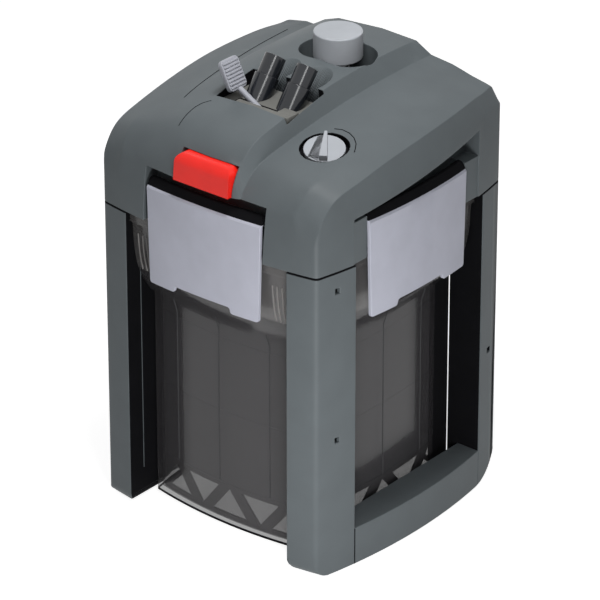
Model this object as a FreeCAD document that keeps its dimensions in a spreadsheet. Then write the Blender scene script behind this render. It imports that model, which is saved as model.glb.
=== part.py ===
import FreeCAD, Part

import math
import os

import Sketcher

# External canister filter for an aquarium, in millimetres.
# +Z is up, the front with the release button faces -Y, and the origin is the middle of the footprint.

Vector = FreeCAD.Vector
os.makedirs("parts", exist_ok=True)
doc = FreeCAD.newDocument("CanisterFilter")

# Driving dimensions: alias, value, meaning
DIMENSIONS = (
    ("planWidth", 238, "overall width over the bowed sides"),
    ("planDepth", 244, "overall depth over the bowed front and back"),
    ("sideBow", 13, "how far the corners lie inside the middle of a side"),
    ("frontBow", 10, "how far the corners lie inside the middle of the front"),
    ("cornerRound", 5, "radius of the vertical corners"),
    ("seamHeight", 260, "height of the seam between frame and head"),
    ("runGap", 0.3, "clearance between pieces that move apart"),
    ("pinGap", 0.05, "radial running clearance of pins"),
    ("padProud", 1.2, "how far the rubber pads stand below the frame"),
    ("padRadius", 7, "radius of a rubber pad"),
    ("padDepth", 2.2, "thickness of a rubber pad"),
    ("padFrontY", 96, "distance of the front pads from the middle"),
    ("padRearY", 75, "distance of the rear pads from the middle"),
    ("padSideX", 97, "distance of the pads from the middle line"),
    ("postInnerX", 80, "inner face of the posts, from the middle line"),
    ("frontPostY", 74, "rear face of the front posts, in front of the middle"),
    ("rearPostY", 84, "front face of the rear posts, behind the middle"),
    ("frameWall", 3, "wall of posts and rails"),
    ("frontFootRound", 12, "rounding of the front bottom edge"),
    ("rearFootRound", 30, "rounding of the rear bottom edge"),
    ("toeRound", 10, "rounding of the inner toe of a front post"),
    ("railInnerX", 91, "inner face of the side rails, from the middle line"),
    ("railHeight", 33, "top face of the side rails"),
    ("snapHoleSize", 4.5, "square snap hole in a post"),
    ("snapHighZ", 244, "height of the upper snap hole"),
    ("snapLowZ", 117, "height of the lower snap hole"),
    ("snapY", 92, "distance of the snap holes from the middle"),
    ("shellHalfX", 86, "half width of the canister below its flare"),
    ("shellHalfY", 94, "half depth of the canister below its flare"),
    ("shellBow", 8, "bow of the canister's sides"),
    ("shellRound", 8, "radius of the canister's vertical corners"),
    ("shellBottom", 4, "underside of the canister"),
    ("shellWall", 3, "wall of the canister"),
    ("flareStart", 180, "height where the canister starts to flare"),
    ("flareEnd", 250, "height where the flare is full"),
    ("flareOut", 19, "how far the rim stands out past the canister"),
    ("rimTop", 260, "top of the canister's rim"),
    ("lipOut", 21.5, "how far the lip stands out past the canister"),
    ("gridTop", 37.6, "top of the ribbed grid under the baskets"),
    ("gridRib", 2.4, "thickness of a rib of the grid"),
    ("gridPlate", 2.4, "thickness of the grid's deck"),
    ("basketGap", 1.2, "gap between baskets and canister wall"),
    ("basketWall", 2, "wall of a basket"),
    ("basketTall", 64, "height of a basket"),
    ("trayTall", 34, "height of the prefilter tray"),
    ("ductHalfX", 15, "half width of the intake duct"),
    ("ductFrontY", 74, "front face of the intake duct"),
    ("ductWall", 2, "wall of the intake duct"),
    ("panBottom", 206, "underside of the pump pan"),
    ("panOut", 8, "how far the pan's lower part stands out past the canister"),
    ("bandOut", 15.6, "how far the sealing band stands out past the canister"),
    ("bandLow", 248, "underside of the sealing band"),
    ("panWall", 3, "wall of the pump pan"),
    ("sealLow", 250, "underside of the seal's groove"),
    ("sealTall", 5, "height of the seal"),
    ("sealDeep", 3, "depth of the seal's groove"),
    ("flangeTall", 3, "thickness of the pan's flange"),
    ("headWall", 3, "wall of the head"),
    ("headTop", 372, "level above the whole head housing"),
    ("deckCrest", 363, "highest level of the raised spine"),
    ("deckCrestY", 65, "where the spine is highest"),
    ("deckArch", 590, "radius of the spine's arch"),
    ("deckBend", 34, "radius of the spine's front bend"),
    ("footCrest", 352, "highest level of the foot of the spine's flank"),
    ("footCrestY", 105, "where the flank's foot is highest"),
    ("footArch", 800, "radius of the foot line's arch"),
    ("footBend", 30, "radius of the foot line's front bend"),
    ("stripCrest", 344.5, "highest level of the inner line of the shoulder strip"),
    ("stripCrestY", 65, "where that line is highest"),
    ("stripArch", 710, "radius of that line's arch"),
    ("stripBend", 24, "radius of that line's front bend"),
    ("ridgeCrest", 340, "highest level of the shoulder's outer ridge"),
    ("ridgeCrestY", 85, "where the ridge is highest"),
    ("ridgeArch", 776, "radius of the ridge's arch"),
    ("ridgeBend", 26, "radius of the ridge's front bend"),
    ("rearBend", 9, "rounding of the head's top rear edge"),
    ("rearSlopeZ", 303, "height where the rear face starts to lean in"),
    ("rearEdgeY", 94, "rear edge of the deck at the head's full height, behind the middle"),
    ("leftDrop", 3.5, "fall of the deck's left edge at the rear"),
    ("leftStep", 5.5, "depth of the step left of the deck at the rear"),
    ("leftStepY", 60, "start of that step, in front of the middle"),
    ("leftBrowX", 61, "upper edge of the step, left of the middle"),
    ("leftHeelX", 70, "lower edge of the step, left of the middle"),
    ("ridgeInset", 7, "how far the ridge lies inside the plan outline"),
    ("stripWide", 20, "width of the shoulder strip at the front"),
    ("stripGrow", 5, "how much wider the strip is at the middle"),
    ("spineFrontHalf", 28, "half width of the spine at the front"),
    ("spineRearHalf", 34, "half width of the spine at the rear"),
    ("flankFront", 6, "width of the spine's flank at the front"),
    ("flankRear", 12, "width of the spine's flank at the rear"),
    ("leanFront", 4, "how far the head's front leans back"),
    ("pocketHalf", 59, "half width of the front and rear clip pockets"),
    ("pocketDeepY", 101.5, "back wall of the front clip pocket"),
    ("pocketTop", 305, "top of the front clip pocket"),
    ("pocketWall", 4.5, "wall around a clip pocket"),
    ("sidePocketY", 76, "half length of the side clip pockets"),
    ("sidePocketX", 98.5, "back wall of the side clip pockets"),
    ("sideLipFront", 298, "top of the side pocket at its front end"),
    ("sideLipRear", 317, "top of the side pocket at its rear end"),
    ("bossTop", 295, "top of the hinge bosses in the side pockets"),
    ("clipHalfX", 56.7, "half width of the front and rear clips"),
    ("clipHalfY", 59.4, "half width of the side clips"),
    ("clipInset", 1.2, "how far a clip lies inside the plan outline"),
    ("clipPlate", 3, "thickness of a clip"),
    ("clipLow", 209, "bottom edge of a clip"),
    ("clipTop", 297, "top edge of a clip"),
    ("clipBevel", 8, "height of the bevel along a clip's top"),
    ("clipLean", 5, "how far that bevel leans back"),
    ("clipNotchHalf", 27, "half width of the finger notch"),
    ("clipNotchTall", 5, "height of the finger notch"),
    ("clipTaper", 2.5, "how much narrower a clip is at the bottom, on each side"),
    ("clipRound", 2.5, "radius of a clip's corners"),
    ("catchHalf", 40, "half width of the catch rib"),
    ("catchLow", 240, "underside of the catch rib"),
    ("catchTall", 7, "height of the catch rib"),
    ("pinHeight", 289, "height of the clip hinges"),
    ("pinInset", 11, "distance of a hinge pin from the plan outline"),
    ("pinRadius", 1.5, "radius of a hinge pin"),
    ("barrelRadius", 4, "radius of a clip's hinge barrel"),
    ("releaseHalf", 27, "half width of the release button"),
    ("releaseLow", 305.2, "bottom of the release button"),
    ("releaseTall", 22, "height of the release button"),
    ("releaseFaceY", 120.6, "front face of the release button"),
    ("releaseDeep", 15, "depth of the release button"),
    ("releaseBackY", 102, "back wall of the release button's nest"),
    ("releaseRound", 7, "rounding of the release button's upper corners"),
    ("releaseBrow", 9, "rounding of the release button's upper front edge"),
    ("releaseWall", 2.5, "wall of the release button"),
    ("releaseLean", 2, "how far the release button's face leans back"),
    ("releasePress", 3, "stroke of the release button"),
    ("wellLeft", 38, "left wall of the adapter well"),
    ("wellRight", 32, "right wall of the adapter well"),
    ("wellFrontY", 57, "front wall of the adapter well"),
    ("wellRearY", 13, "rear wall of the adapter well"),
    ("wellFloor", 300, "floor of the adapter well"),
    ("wellWall", 2.5, "wall around the wells of the deck"),
    ("adapterTop", 345, "top face of the hose adapter"),
    ("stubLeftX", 18.5, "left hose stub, left of the middle"),
    ("stubRightX", 13, "right hose stub, right of the middle"),
    ("stubFrontY", 30, "hose stubs at the adapter's top face, in front of the middle"),
    ("stubTilt", 38, "backward tilt of the hose stubs"),
    ("stubRadius", 8, "outer radius of a hose stub inside its collar"),
    ("stubBore", 6, "bore radius of a hose stub"),
    ("stubLength", 33, "length of a hose stub above the adapter"),
    ("spigotRadius", 8.5, "outer radius of a hose stub above its collar"),
    ("collarRadius", 9.9, "outer radius of a stub's collar"),
    ("collarLength", 15, "length of a stub's collar"),
    ("scoopRadius", 13.5, "radius of the hose scoops in the deck"),
    ("scoopTilt", 42, "tilt of the hose scoops"),
    ("scoopStartY", 35, "start of the scoops, in front of the middle"),
    ("scoopStartZ", 326, "start height of the scoops"),
    ("scoopLength", 90, "length of the scoops"),
    ("portY", 34, "hose ports below the adapter, in front of the middle"),
    ("portRadius", 8, "radius of the adapter's plug pipes"),
    ("portFloor", 268, "lower end of the plug pipes"),
    ("portWall", 2.2, "wall of the port sockets"),
    ("slotHalfY", 4.5, "half width of the lever's slot"),
    ("leverY", 46, "lever's plane, in front of the middle"),
    ("leverPivotX", 6, "lever's pivot, right of the middle"),
    ("leverPivotZ", 338, "height of the lever's pivot"),
    ("leverShaft", 2.5, "radius of the lever's pivot pin"),
    ("leverHub", 6, "radius of the lever's hub"),
    ("leverStem", 36, "length of the lever's stem"),
    ("leverStemTilt", 60, "lean of the stem to the left"),
    ("paddleTilt", 26, "lean of the paddle to the left"),
    ("paddleLong", 25, "length of the ribbed paddle"),
    ("paddleWide", 20, "width of the ribbed paddle"),
    ("paddleThick", 4, "thickness of the ribbed paddle"),
    ("paddleY", 47, "middle of the paddle, in front of the middle"),
    ("dialX", 66, "bypass dial, right of the middle"),
    ("dialY", 54, "bypass dial, in front of the middle"),
    ("dialZ", 335, "level of the dial's face"),
    ("dialTilt", 14, "tilt of the dial towards the front right"),
    ("dialRadius", 16, "radius of the dial"),
    ("dialWell", 18.9, "radius of the dial's well"),
    ("dialDeep", 5.4, "depth of the dial's well"),
    ("dialThick", 4, "thickness of the dial's disc"),
    ("finTall", 5, "height of the dial's pointer fin"),
    ("finThick", 2.4, "thickness of the dial's pointer fin at the back"),
    ("finWide", 6.5, "thickness of the fin at the front"),
    ("primeY", 43, "priming button, behind the middle"),
    ("primeRadius", 19.3, "radius of the priming button"),
    ("primeTop", 380, "top of the priming button"),
    ("primeLow", 358, "lower edge of the priming button"),
    ("primeWall", 2.5, "wall of the priming button"),
    ("primeHole", 21.2, "radius of the ends of the button's oval well"),
    ("primeHoleHalf", 12, "half distance between the oval well's centres"),
    ("primeFloor", 341, "floor of the oval well"),
    ("rodRadius", 4, "radius of the priming rod"),
    ("pistonRadius", 14, "radius of the priming piston"),
    ("pistonThick", 5, "thickness of the priming piston"),
    ("pistonZ", 326, "underside of the priming piston at rest"),
    ("primeTravel", 15, "stroke of the priming button"),
    ("chamberWall", 2, "wall of the priming chamber"),
    ("chamberLow", 298, "underside of the priming chamber"),
    ("wireRadius", 0.7, "radius of the spring wire"),
    ("motorY", 34, "motor axis, behind the middle"),
    ("shaftRadius", 1.5, "radius of the ceramic shaft"),
    ("rotorRadius", 9, "radius of the magnet rotor"),
    ("canWall", 1.8, "wall of the rotor can"),
    ("canTop", 262, "top of the rotor can"),
    ("chamberRadius", 23, "inner radius of the pump chamber"),
    ("impellerRadius", 18, "radius of the impeller"),
    ("impellerTall", 8, "height of the impeller's vanes"),
    ("coreHalfX", 30, "half width of the stator core"),
    ("coreHalfY", 20, "half depth of the stator core"),
    ("coreTall", 22, "height of the stator core"),
    ("glandX", 74, "cable gland, left of the middle"),
    ("glandZ", 284, "height of the cable gland"),
    ("glandRadius", 7, "radius of the cable gland"),
    ("glandBore", 3.6, "bore radius of the cable gland"),
)


class Size:
    # A driving dimension or a formula of them: its number, and the text that a bound property takes.
    def __init__(self, text, value):
        self.text = text
        self.value = value

    def joined(self, other, sign, value, swapped=False):
        otherText = other.text if isinstance(other, Size) else repr(other)
        left, right = (otherText, self.text) if swapped else (self.text, otherText)
        return Size("(" + left + " " + sign + " " + right + ")", value)

    def __add__(self, other):
        return self.joined(other, "+", self.value + number(other))

    def __radd__(self, other):
        return self.joined(other, "+", number(other) + self.value, swapped=True)

    def __sub__(self, other):
        return self.joined(other, "-", self.value - number(other))

    def __rsub__(self, other):
        return self.joined(other, "-", number(other) - self.value, swapped=True)

    def __mul__(self, other):
        return self.joined(other, "*", self.value * number(other))

    def __rmul__(self, other):
        return self.joined(other, "*", number(other) * self.value, swapped=True)

    def __truediv__(self, other):
        return self.joined(other, "/", self.value / number(other))

    def __neg__(self):
        return Size("(0 - " + self.text + ")", -self.value)


def number(size):
    return size.value if isinstance(size, Size) else size


def root(size):
    return Size("sqrt(" + size.text + ")", math.sqrt(size.value))


class Dimensions:
    pass


sheet = doc.addObject("Spreadsheet::Sheet", "Sizes")
size = Dimensions()
for row, (alias, value, meaning) in enumerate(DIMENSIONS, start=1):
    sheet.set("A" + str(row), meaning)
    sheet.set("B" + str(row), str(value))
    sheet.setAlias("B" + str(row), alias)
    setattr(size, alias, Size("Sizes." + alias, value))
doc.recompute()

halfWide = size.planWidth / 2
halfDeep = size.planDepth / 2
PLENTY = 20  # how far a cutting tool reaches past what it cuts


def bind(item, name, wanted):
    if isinstance(wanted, Size):
        item.setExpression(name, wanted.text)
    elif "." in name:
        item.setExpression(name, repr(wanted))
    else:
        setattr(item, name, wanted)


def place(item, x, y, z, axis=None, angle=None):
    if axis is not None:
        item.Placement = FreeCAD.Placement(Vector(0, 0, 0), FreeCAD.Rotation(Vector(*axis), number(angle)))
        bind(item, "Placement.Rotation.Angle", angle)
    for name, value in (("x", x), ("y", y), ("z", z)):
        bind(item, "Placement.Base." + name, value)
    return item


def box(name, low, high):
    block = doc.addObject("Part::Box", name)
    for prop, start, end in zip(("Length", "Width", "Height"), low, high):
        bind(block, prop, end - start)
    return place(block, *low)


def rod(name, start, radius, length, axis=None, angle=None):
    # A round bar that rises from start, turned by angle about axis.
    bar = doc.addObject("Part::Cylinder", name)
    bind(bar, "Radius", radius)
    bind(bar, "Height", length)
    return place(bar, *start, axis, angle)


def rodX(name, start, radius, length):
    return rod(name, start, radius, length, (0, 1, 0), 90)


def rodY(name, start, radius, length):
    return rod(name, start, radius, length, (1, 0, 0), -90)


def fuse(name, *pieces):
    joined = doc.addObject("Part::MultiFuse", name)
    joined.Shapes = list(pieces)
    return joined


def common(name, *pieces):
    shared = doc.addObject("Part::MultiCommon", name)
    shared.Shapes = list(pieces)
    return shared


def cut(name, base, *tools):
    tool = tools[0] if len(tools) == 1 else fuse(name + "Tools", *tools)
    rest = doc.addObject("Part::Cut", name)
    rest.Base = base
    rest.Tool = tool
    return rest


def cutInTurn(name, base, *tools):
    # Cuts one tool after the other, for a base whose faces meet several tools at once.
    for index, tool in enumerate(tools):
        base = cut(name + str(index), base, tool)
    return base


def originPlane(body, role):
    return next(item for item in body.Origin.OriginFeatures if item.Role == role)


def newSketch(body, name, role, offset):
    sketch = body.newObject("Sketcher::SketchObject", name)
    sketch.AttachmentSupport = [(originPlane(body, role), "")]
    sketch.MapMode = "FlatFace"
    bind(sketch, "AttachmentOffset.Base.z", offset)
    return sketch


def drawBowed(sketch, halfX, halfY, bowX, bowY):
    # An outline of four arcs that swell outwards between the corners.
    cornerX = halfX - bowX
    cornerY = halfY - bowY
    radiusX = (cornerY * cornerY + bowX * bowX) / (2 * bowX)
    radiusY = (cornerX * cornerX + bowY * bowY) / (2 * bowY)
    spreadX = math.asin(number(cornerY) / number(radiusX))
    spreadY = math.asin(number(cornerX) / number(radiusY))
    reachX = number(halfX) - number(radiusX)
    reachY = number(halfY) - number(radiusY)
    arcs = (
        (Vector(reachX, 0, 0), number(radiusX), 0, spreadX),
        (Vector(0, reachY, 0), number(radiusY), math.pi / 2, spreadY),
        (Vector(-reachX, 0, 0), number(radiusX), math.pi, spreadX),
        (Vector(0, -reachY, 0), number(radiusY), 1.5 * math.pi, spreadY),
    )
    for centre, radius, heading, spread in arcs:
        circle = Part.Circle(centre, Vector(0, 0, 1), radius)
        sketch.addGeometry(Part.ArcOfCircle(circle, heading - spread, heading + spread), False)
    for first, second in ((0, 1), (1, 2), (2, 3), (3, 0)):
        sketch.addConstraint(Sketcher.Constraint("Coincident", first, 2, second, 1))
    for arc, line in ((0, -1), (1, -2), (2, -1), (3, -2)):
        sketch.addConstraint(Sketcher.Constraint("PointOnObject", arc, 3, line))
    sketch.addConstraint(Sketcher.Constraint("Equal", 0, 2))
    sketch.addConstraint(Sketcher.Constraint("Equal", 1, 3))
    sketch.addConstraint(Sketcher.Constraint("Vertical", 0, 1, 0, 2))
    sketch.addConstraint(Sketcher.Constraint("Horizontal", 1, 1, 1, 2))
    bound = (
        (Sketcher.Constraint("Radius", 0, number(radiusX)), radiusX),
        (Sketcher.Constraint("Radius", 1, number(radiusY)), radiusY),
        (Sketcher.Constraint("DistanceX", -1, 1, 0, 2, number(cornerX)), cornerX),
        (Sketcher.Constraint("DistanceY", -1, 1, 0, 2, number(cornerY)), cornerY),
    )
    for constraint, wanted in bound:
        index = sketch.addConstraint(constraint)
        bind(sketch, "Constraints[" + str(index) + "]", wanted)


def drawPolygon(sketch, points):
    count = len(points)
    corners = [Vector(number(x), number(y), 0) for x, y in points]
    for index in range(count):
        sketch.addGeometry(Part.LineSegment(corners[index], corners[(index + 1) % count]), False)
    for index in range(count):
        sketch.addConstraint(Sketcher.Constraint("Coincident", index, 2, (index + 1) % count, 1))
    for index, (x, y) in enumerate(points):
        for kind, wanted in (("DistanceX", x), ("DistanceY", y)):
            made = sketch.addConstraint(Sketcher.Constraint(kind, -1, 1, index, 1, number(wanted)))
            bind(sketch, "Constraints[" + str(made) + "]", wanted)


def pad(body, sketch, name, length):
    feature = body.newObject("PartDesign::Pad", name)
    feature.Profile = sketch
    bind(feature, "Length", length)
    body.Tip = feature
    return feature


def roundEdges(body, feature, name, radius, chosen):
    doc.recompute()
    names = ["Edge" + str(i) for i, edge in enumerate(feature.Shape.Edges, start=1) if chosen(edge)]
    rounding = body.newObject("PartDesign::Fillet", name)
    rounding.Base = (feature, names)
    bind(rounding, "Radius", radius)
    body.Tip = rounding
    return rounding


def isUpright(edge):
    first, last = edge.Vertexes[0].Point, edge.Vertexes[-1].Point
    return abs(first.x - last.x) < 0.01 and abs(first.y - last.y) < 0.01


def bowedBlock(name, low, high, halfX, halfY, bowX, bowY, corner=None):
    body = doc.addObject("PartDesign::Body", name)
    sketch = newSketch(body, name + "Outline", "XY_Plane", low)
    drawBowed(sketch, halfX, halfY, bowX, bowY)
    feature = pad(body, sketch, name + "Pad", high - low)
    if corner is not None:
        roundEdges(body, feature, name + "Corners", corner, isUpright)
    return body


def profileX(name, points, fromX, toX):
    # A polygon in Y and Z, stretched along X.
    body = doc.addObject("PartDesign::Body", name)
    sketch = newSketch(body, name + "Outline", "YZ_Plane", fromX)
    drawPolygon(sketch, points)
    pad(body, sketch, name + "Pad", toX - fromX)
    return body


def profileY(name, points, fromY, toY):
    # A polygon in X and Z, stretched along Y. The plane's normal points to -Y.
    body = doc.addObject("PartDesign::Body", name)
    sketch = newSketch(body, name + "Outline", "XZ_Plane", -toY)
    drawPolygon(sketch, points)
    pad(body, sketch, name + "Pad", toY - fromY)
    return body


nodes = {}


def node(name, item):
    # The finished shape of one node: its label names its file.
    item.Label = name
    nodes[name] = item
    return item


def planBlock(name, low, high, inset=0, corner=None):
    return bowedBlock(name, low, high, halfWide - inset, halfDeep - inset, size.sideBow, size.frontBow, corner)


def planLoft(name, low, high, lowInset, highInset):
    sections = [(level, halfWide - inset, halfDeep - inset, size.sideBow, size.frontBow)
                for level, inset in ((low, lowInset), (high, highInset))]
    return bowedLoft(name, sections, True)


def shellBlock(name, low, high, out=0, corner=size.shellRound):
    return bowedBlock(name, low, high, size.shellHalfX + out, size.shellHalfY + out,
                      size.shellBow, size.shellBow, corner)


# Canister

def bowedLoft(name, sections, ruled):
    # A solid through bowed outlines, each given as level, half sizes and bows.
    body = doc.addObject("PartDesign::Body", name)
    sketches = []
    for index, (level, halfX, halfY, bowX, bowY) in enumerate(sections):
        sketch = newSketch(body, name + "Section" + str(index), "XY_Plane", level)
        drawBowed(sketch, halfX, halfY, bowX, bowY)
        sketches.append(sketch)
    loft = body.newObject("PartDesign::AdditiveLoft", name + "Loft")
    loft.Profile = sketches[0]
    loft.Sections = sketches[1:]
    loft.Ruled = ruled
    body.Tip = loft
    return body


# Share of the flare's height, and share of its full width there
FLARE = ((0, 0), (0.14, 0.32), (0.31, 0.63), (0.51, 0.84), (0.74, 0.95), (1, 1))


def flareLoft(name, inset):
    rise = size.flareEnd - size.flareStart
    sections = []
    for height, width in FLARE:
        out = size.flareOut * width - inset
        sections.append((size.flareStart + rise * height, size.shellHalfX + out, size.shellHalfY + out,
                         size.shellBow, size.shellBow))
    return bowedLoft(name, sections, False)


def loftFeature(name, wires, ruled=False):
    feature = doc.addObject("Part::Feature", name)
    feature.Shape = Part.makeLoft(wires, True, ruled)
    return feature


def canister():
    straight = shellBlock("shellStraight", size.shellBottom, size.flareStart, corner=None)
    flare = flareLoft("shellFlare", 0)
    lip = shellBlock("shellLip", size.flareEnd, size.rimTop, size.lipOut, corner=None)
    outer = fuse("shellOuter", straight, flare, lip)
    wall = size.shellWall
    hollow = shellBlock("shellHollow", size.shellBottom + wall, size.flareStart, -wall, corner=None)
    flareHollow = flareLoft("flareHollow", wall)
    rimHollow = shellBlock("rimHollow", size.flareEnd, size.rimTop + PLENTY, size.flareOut - wall, corner=None)
    inner = fuse("shellInner", hollow, flareHollow, rimHollow)
    node("canister_shell", cut("canisterCut", outer, inner))
    return outer


# Frame of posts and rails

def frameForm():
    base = size.padProud
    block = planBlock("frameBlock", base, size.seamHeight, 0, size.cornerRound)
    # The envelope has the same front and rear arcs, but runs on past the corners
    cornerX = halfWide - size.sideBow
    arc = (cornerX * cornerX + size.frontBow * size.frontBow) / (2 * size.frontBow)
    wideX = cornerX + PLENTY
    wideBow = arc - root(arc * arc - wideX * wideX)
    body = doc.addObject("PartDesign::Body", "frameEnvelope")
    sketch = newSketch(body, "frameEnvelopeOutline", "XY_Plane", base)
    drawBowed(sketch, wideX + size.sideBow, halfDeep, size.sideBow, wideBow)
    feature = pad(body, sketch, "frameEnvelopePad", size.seamHeight + PLENTY)

    def frontFoot(edge):
        point = edge.CenterOfMass
        return abs(point.z - number(base)) < 0.1 and point.y < -number(halfDeep) / 2

    def rearFoot(edge):
        point = edge.CenterOfMass
        return abs(point.z - number(base)) < 0.1 and point.y > number(halfDeep) / 2

    first = roundEdges(body, feature, "frontFootRounding", size.frontFootRound, frontFoot)
    roundEdges(body, first, "rearFootRounding", size.rearFootRound, rearFoot)
    return common("frameForm", block, body)


def postBox(name, sideX, front, inset, low, high):
    innerX = size.postInnerX + inset
    outerX = halfWide + PLENTY
    innerY = (size.frontPostY if front else size.rearPostY) + inset
    outerY = halfDeep + PLENTY
    lowX, highX = (innerX, outerX) if sideX > 0 else (-outerX, -innerX)
    lowY, highY = (-outerY, -innerY) if front else (innerY, outerY)
    return box(name, (lowX, lowY, low), (highX, highY, high))


def posts(form, shellOuter):
    wall = size.frameWall
    core = planBlock("postCore", size.padProud + wall, size.seamHeight + PLENTY, wall)
    floor = size.padProud + wall
    coreEnvelope = profileX("postCoreEnvelope", (
        (-halfDeep, floor + wall + size.frontBow + size.frontFootRound),
        (-halfDeep + wall + size.frontBow + size.frontFootRound, floor),
        (halfDeep - wall - size.frontBow - size.rearFootRound, floor),
        (halfDeep, floor + wall + size.frontBow + size.rearFootRound),
        (halfDeep, size.seamHeight + PLENTY),
        (-halfDeep, size.seamHeight + PLENTY),
    ), -halfWide - PLENTY, halfWide + PLENTY)
    for sideX, sideName in ((-1, "left"), (1, "right")):
        for front, endName in ((True, "front"), (False, "rear")):
            name = "post_" + endName + "_" + sideName
            key = endName + sideName.capitalize()
            solid = common(key + "Solid", form, postBox(key + "Box", sideX, front, 0, -PLENTY, size.seamHeight))
            hollow = common(key + "Hollow", core, coreEnvelope,
                            postBox(key + "Room", sideX, front, wall, -PLENTY, size.seamHeight + PLENTY))
            if front:
                hollow = cut(key + "HollowAboveToe", hollow, postToe(key + "ToeGuard", sideX, floor + size.toeRound, wall))
                solid = cut(key + "Toed", solid, toeTool(key, sideX))
            tools = [hollow, shellOuter] + snapHoles(key, sideX, front)
            tools.append(padSeat(key, sideX, front))
            node(name, cut(key + "Post", solid, *tools))


def postToe(name, sideX, high, more):
    # The lowest inner strip of a front post, as wide as the toe's rounding and a little more.
    inner = size.postInnerX
    outer = inner + size.toeRound + more
    lowX, highX = (inner, outer) if sideX > 0 else (-outer, -inner)
    return box(name, (lowX, -halfDeep - PLENTY, 0), (highX, -size.frontPostY + PLENTY, high))


def toeTool(key, sideX):
    # What the rounding of the toe takes away.
    high = size.padProud + size.toeRound
    corner = postToe(key + "ToeCorner", sideX, high, 0)
    bar = rodY(key + "ToeBar", (sideX * (size.postInnerX + size.toeRound), -halfDeep - PLENTY, high), size.toeRound,
               size.planDepth)
    return cut(key + "ToeTool", corner, bar)


def snapHoles(key, sideX, front):
    half = size.snapHoleSize / 2
    middleY = -size.snapY if front else size.snapY + 6
    innerX = size.postInnerX + size.frameWall + 2
    lowX, highX = (innerX, halfWide + PLENTY) if sideX > 0 else (-halfWide - PLENTY, -innerX)
    holes = []
    levels = (("High", size.snapHighZ), ("Low", size.snapLowZ)) if front else (("Low", size.snapLowZ),)
    for label, level in levels:
        holes.append(box(key + "Snap" + label, (lowX, middleY - half, level - half),
                         (highX, middleY + half, level + half)))
    return holes


def padSeat(key, sideX, front):
    return rod(key + "PadSeat", (sideX * size.padSideX, -size.padFrontY if front else size.padRearY, 0),
               size.padRadius, size.padDepth)


def rails(form):
    wall = size.frameWall
    for sideX, sideName in ((-1, "left"), (1, "right")):
        key = sideName + "Rail"
        innerX = size.railInnerX
        outerX = halfWide + PLENTY
        lowX, highX = (innerX, outerX) if sideX > 0 else (-outerX, -innerX)
        block = box(key + "Box", (lowX, -size.frontPostY, -PLENTY), (highX, size.rearPostY, size.railHeight))
        solid = common(key + "Solid", form, block)
        core = planBlock(key + "Core", -PLENTY, size.railHeight - wall, wall)
        roomLow, roomHigh = (innerX + wall, outerX) if sideX > 0 else (-outerX, -innerX - wall)
        endBlock = size.padRearY - size.padRadius - wall
        room = box(key + "Room", (roomLow, -size.frontPostY + wall, -PLENTY),
                   (roomHigh, endBlock, size.railHeight - wall))
        hollow = common(key + "Hollow", core, room)
        seat = rod(key + "PadSeat", (sideX * size.padSideX, size.padRearY, 0), size.padRadius, size.padDepth)
        node("rail_" + sideName, cut(key + "Rail", solid, hollow, seat))


def footPads():
    pads = []
    for sideX in (-1, 1):
        for name, y in (("Front", -size.padFrontY), ("Rear", size.padRearY)):
            key = "pad" + name + ("Left" if sideX < 0 else "Right")
            pads.append(rod(key, (sideX * size.padSideX, y, 0), size.padRadius, size.padDepth))
    node("foot_pads", fuse("footPads", *pads))


# Base grid, duct, baskets and media

def basketHalves(extra=0):
    inset = size.shellWall + size.basketGap + extra
    return size.shellHalfX - inset, size.shellHalfY - inset


def ductRoom(name, low, high, extra):
    return box(name, (-size.ductHalfX - extra, size.ductFrontY - extra, low),
               (size.ductHalfX + extra, halfDeep, high))


def baseGrid():
    floor = size.shellBottom + size.shellWall
    halfX, halfY = basketHalves()
    block = bowedBlock("gridBlock", floor, size.gridTop, halfX, halfY, size.shellBow, size.shellBow)
    rib = size.gridRib
    room = bowedBlock("gridRoom", floor - 1, size.gridTop - size.gridPlate, halfX - rib, halfY - rib,
                      size.shellBow, size.shellBow)
    shell = cut("gridShell", block, room)
    windows = []
    bays = 5
    for index in range(bays):
        middle = (index - (bays - 1) / 2) * (2 * halfX / (bays + 0.6))
        windows.append(trussWindow("gridFront" + str(index), middle, index % 2 == 0, halfX, floor, False))
    for index in range(bays):
        middle = (index - (bays - 1) / 2) * (2 * halfY / (bays + 0.6))
        windows.append(trussWindow("gridSide" + str(index), middle, index % 2 == 0, halfY, floor, True))
    slots = []
    for index in range(7):
        x = (index - 3) * 20
        slots.append(box("gridSlot" + str(index), (x - 6, -60, size.gridTop - 2 * size.gridPlate),
                         (x + 6, 60, size.gridTop + 1)))
    tools = windows + slots + [ductRoom("gridDuctRoom", floor - 1, size.gridTop + 1, 0.5)]
    node("base_grid", cut("baseGrid", shell, *tools))


def trussWindow(name, middle, pointUp, half, floor, alongY):
    # A three-cornered opening between two slanting ribs.
    low = floor + 3.5
    high = size.gridTop - size.gridPlate - 1.5
    reach = half * 2 / 5.6 * 0.62
    if pointUp:
        points = ((middle - reach, low), (middle + reach, low), (middle, high))
    else:
        points = ((middle - reach, high), (middle, low), (middle + reach, high))
    if alongY:
        return profileX(name, points, -halfWide, halfWide)
    return profileY(name, points, -halfDeep, halfDeep)


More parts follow.
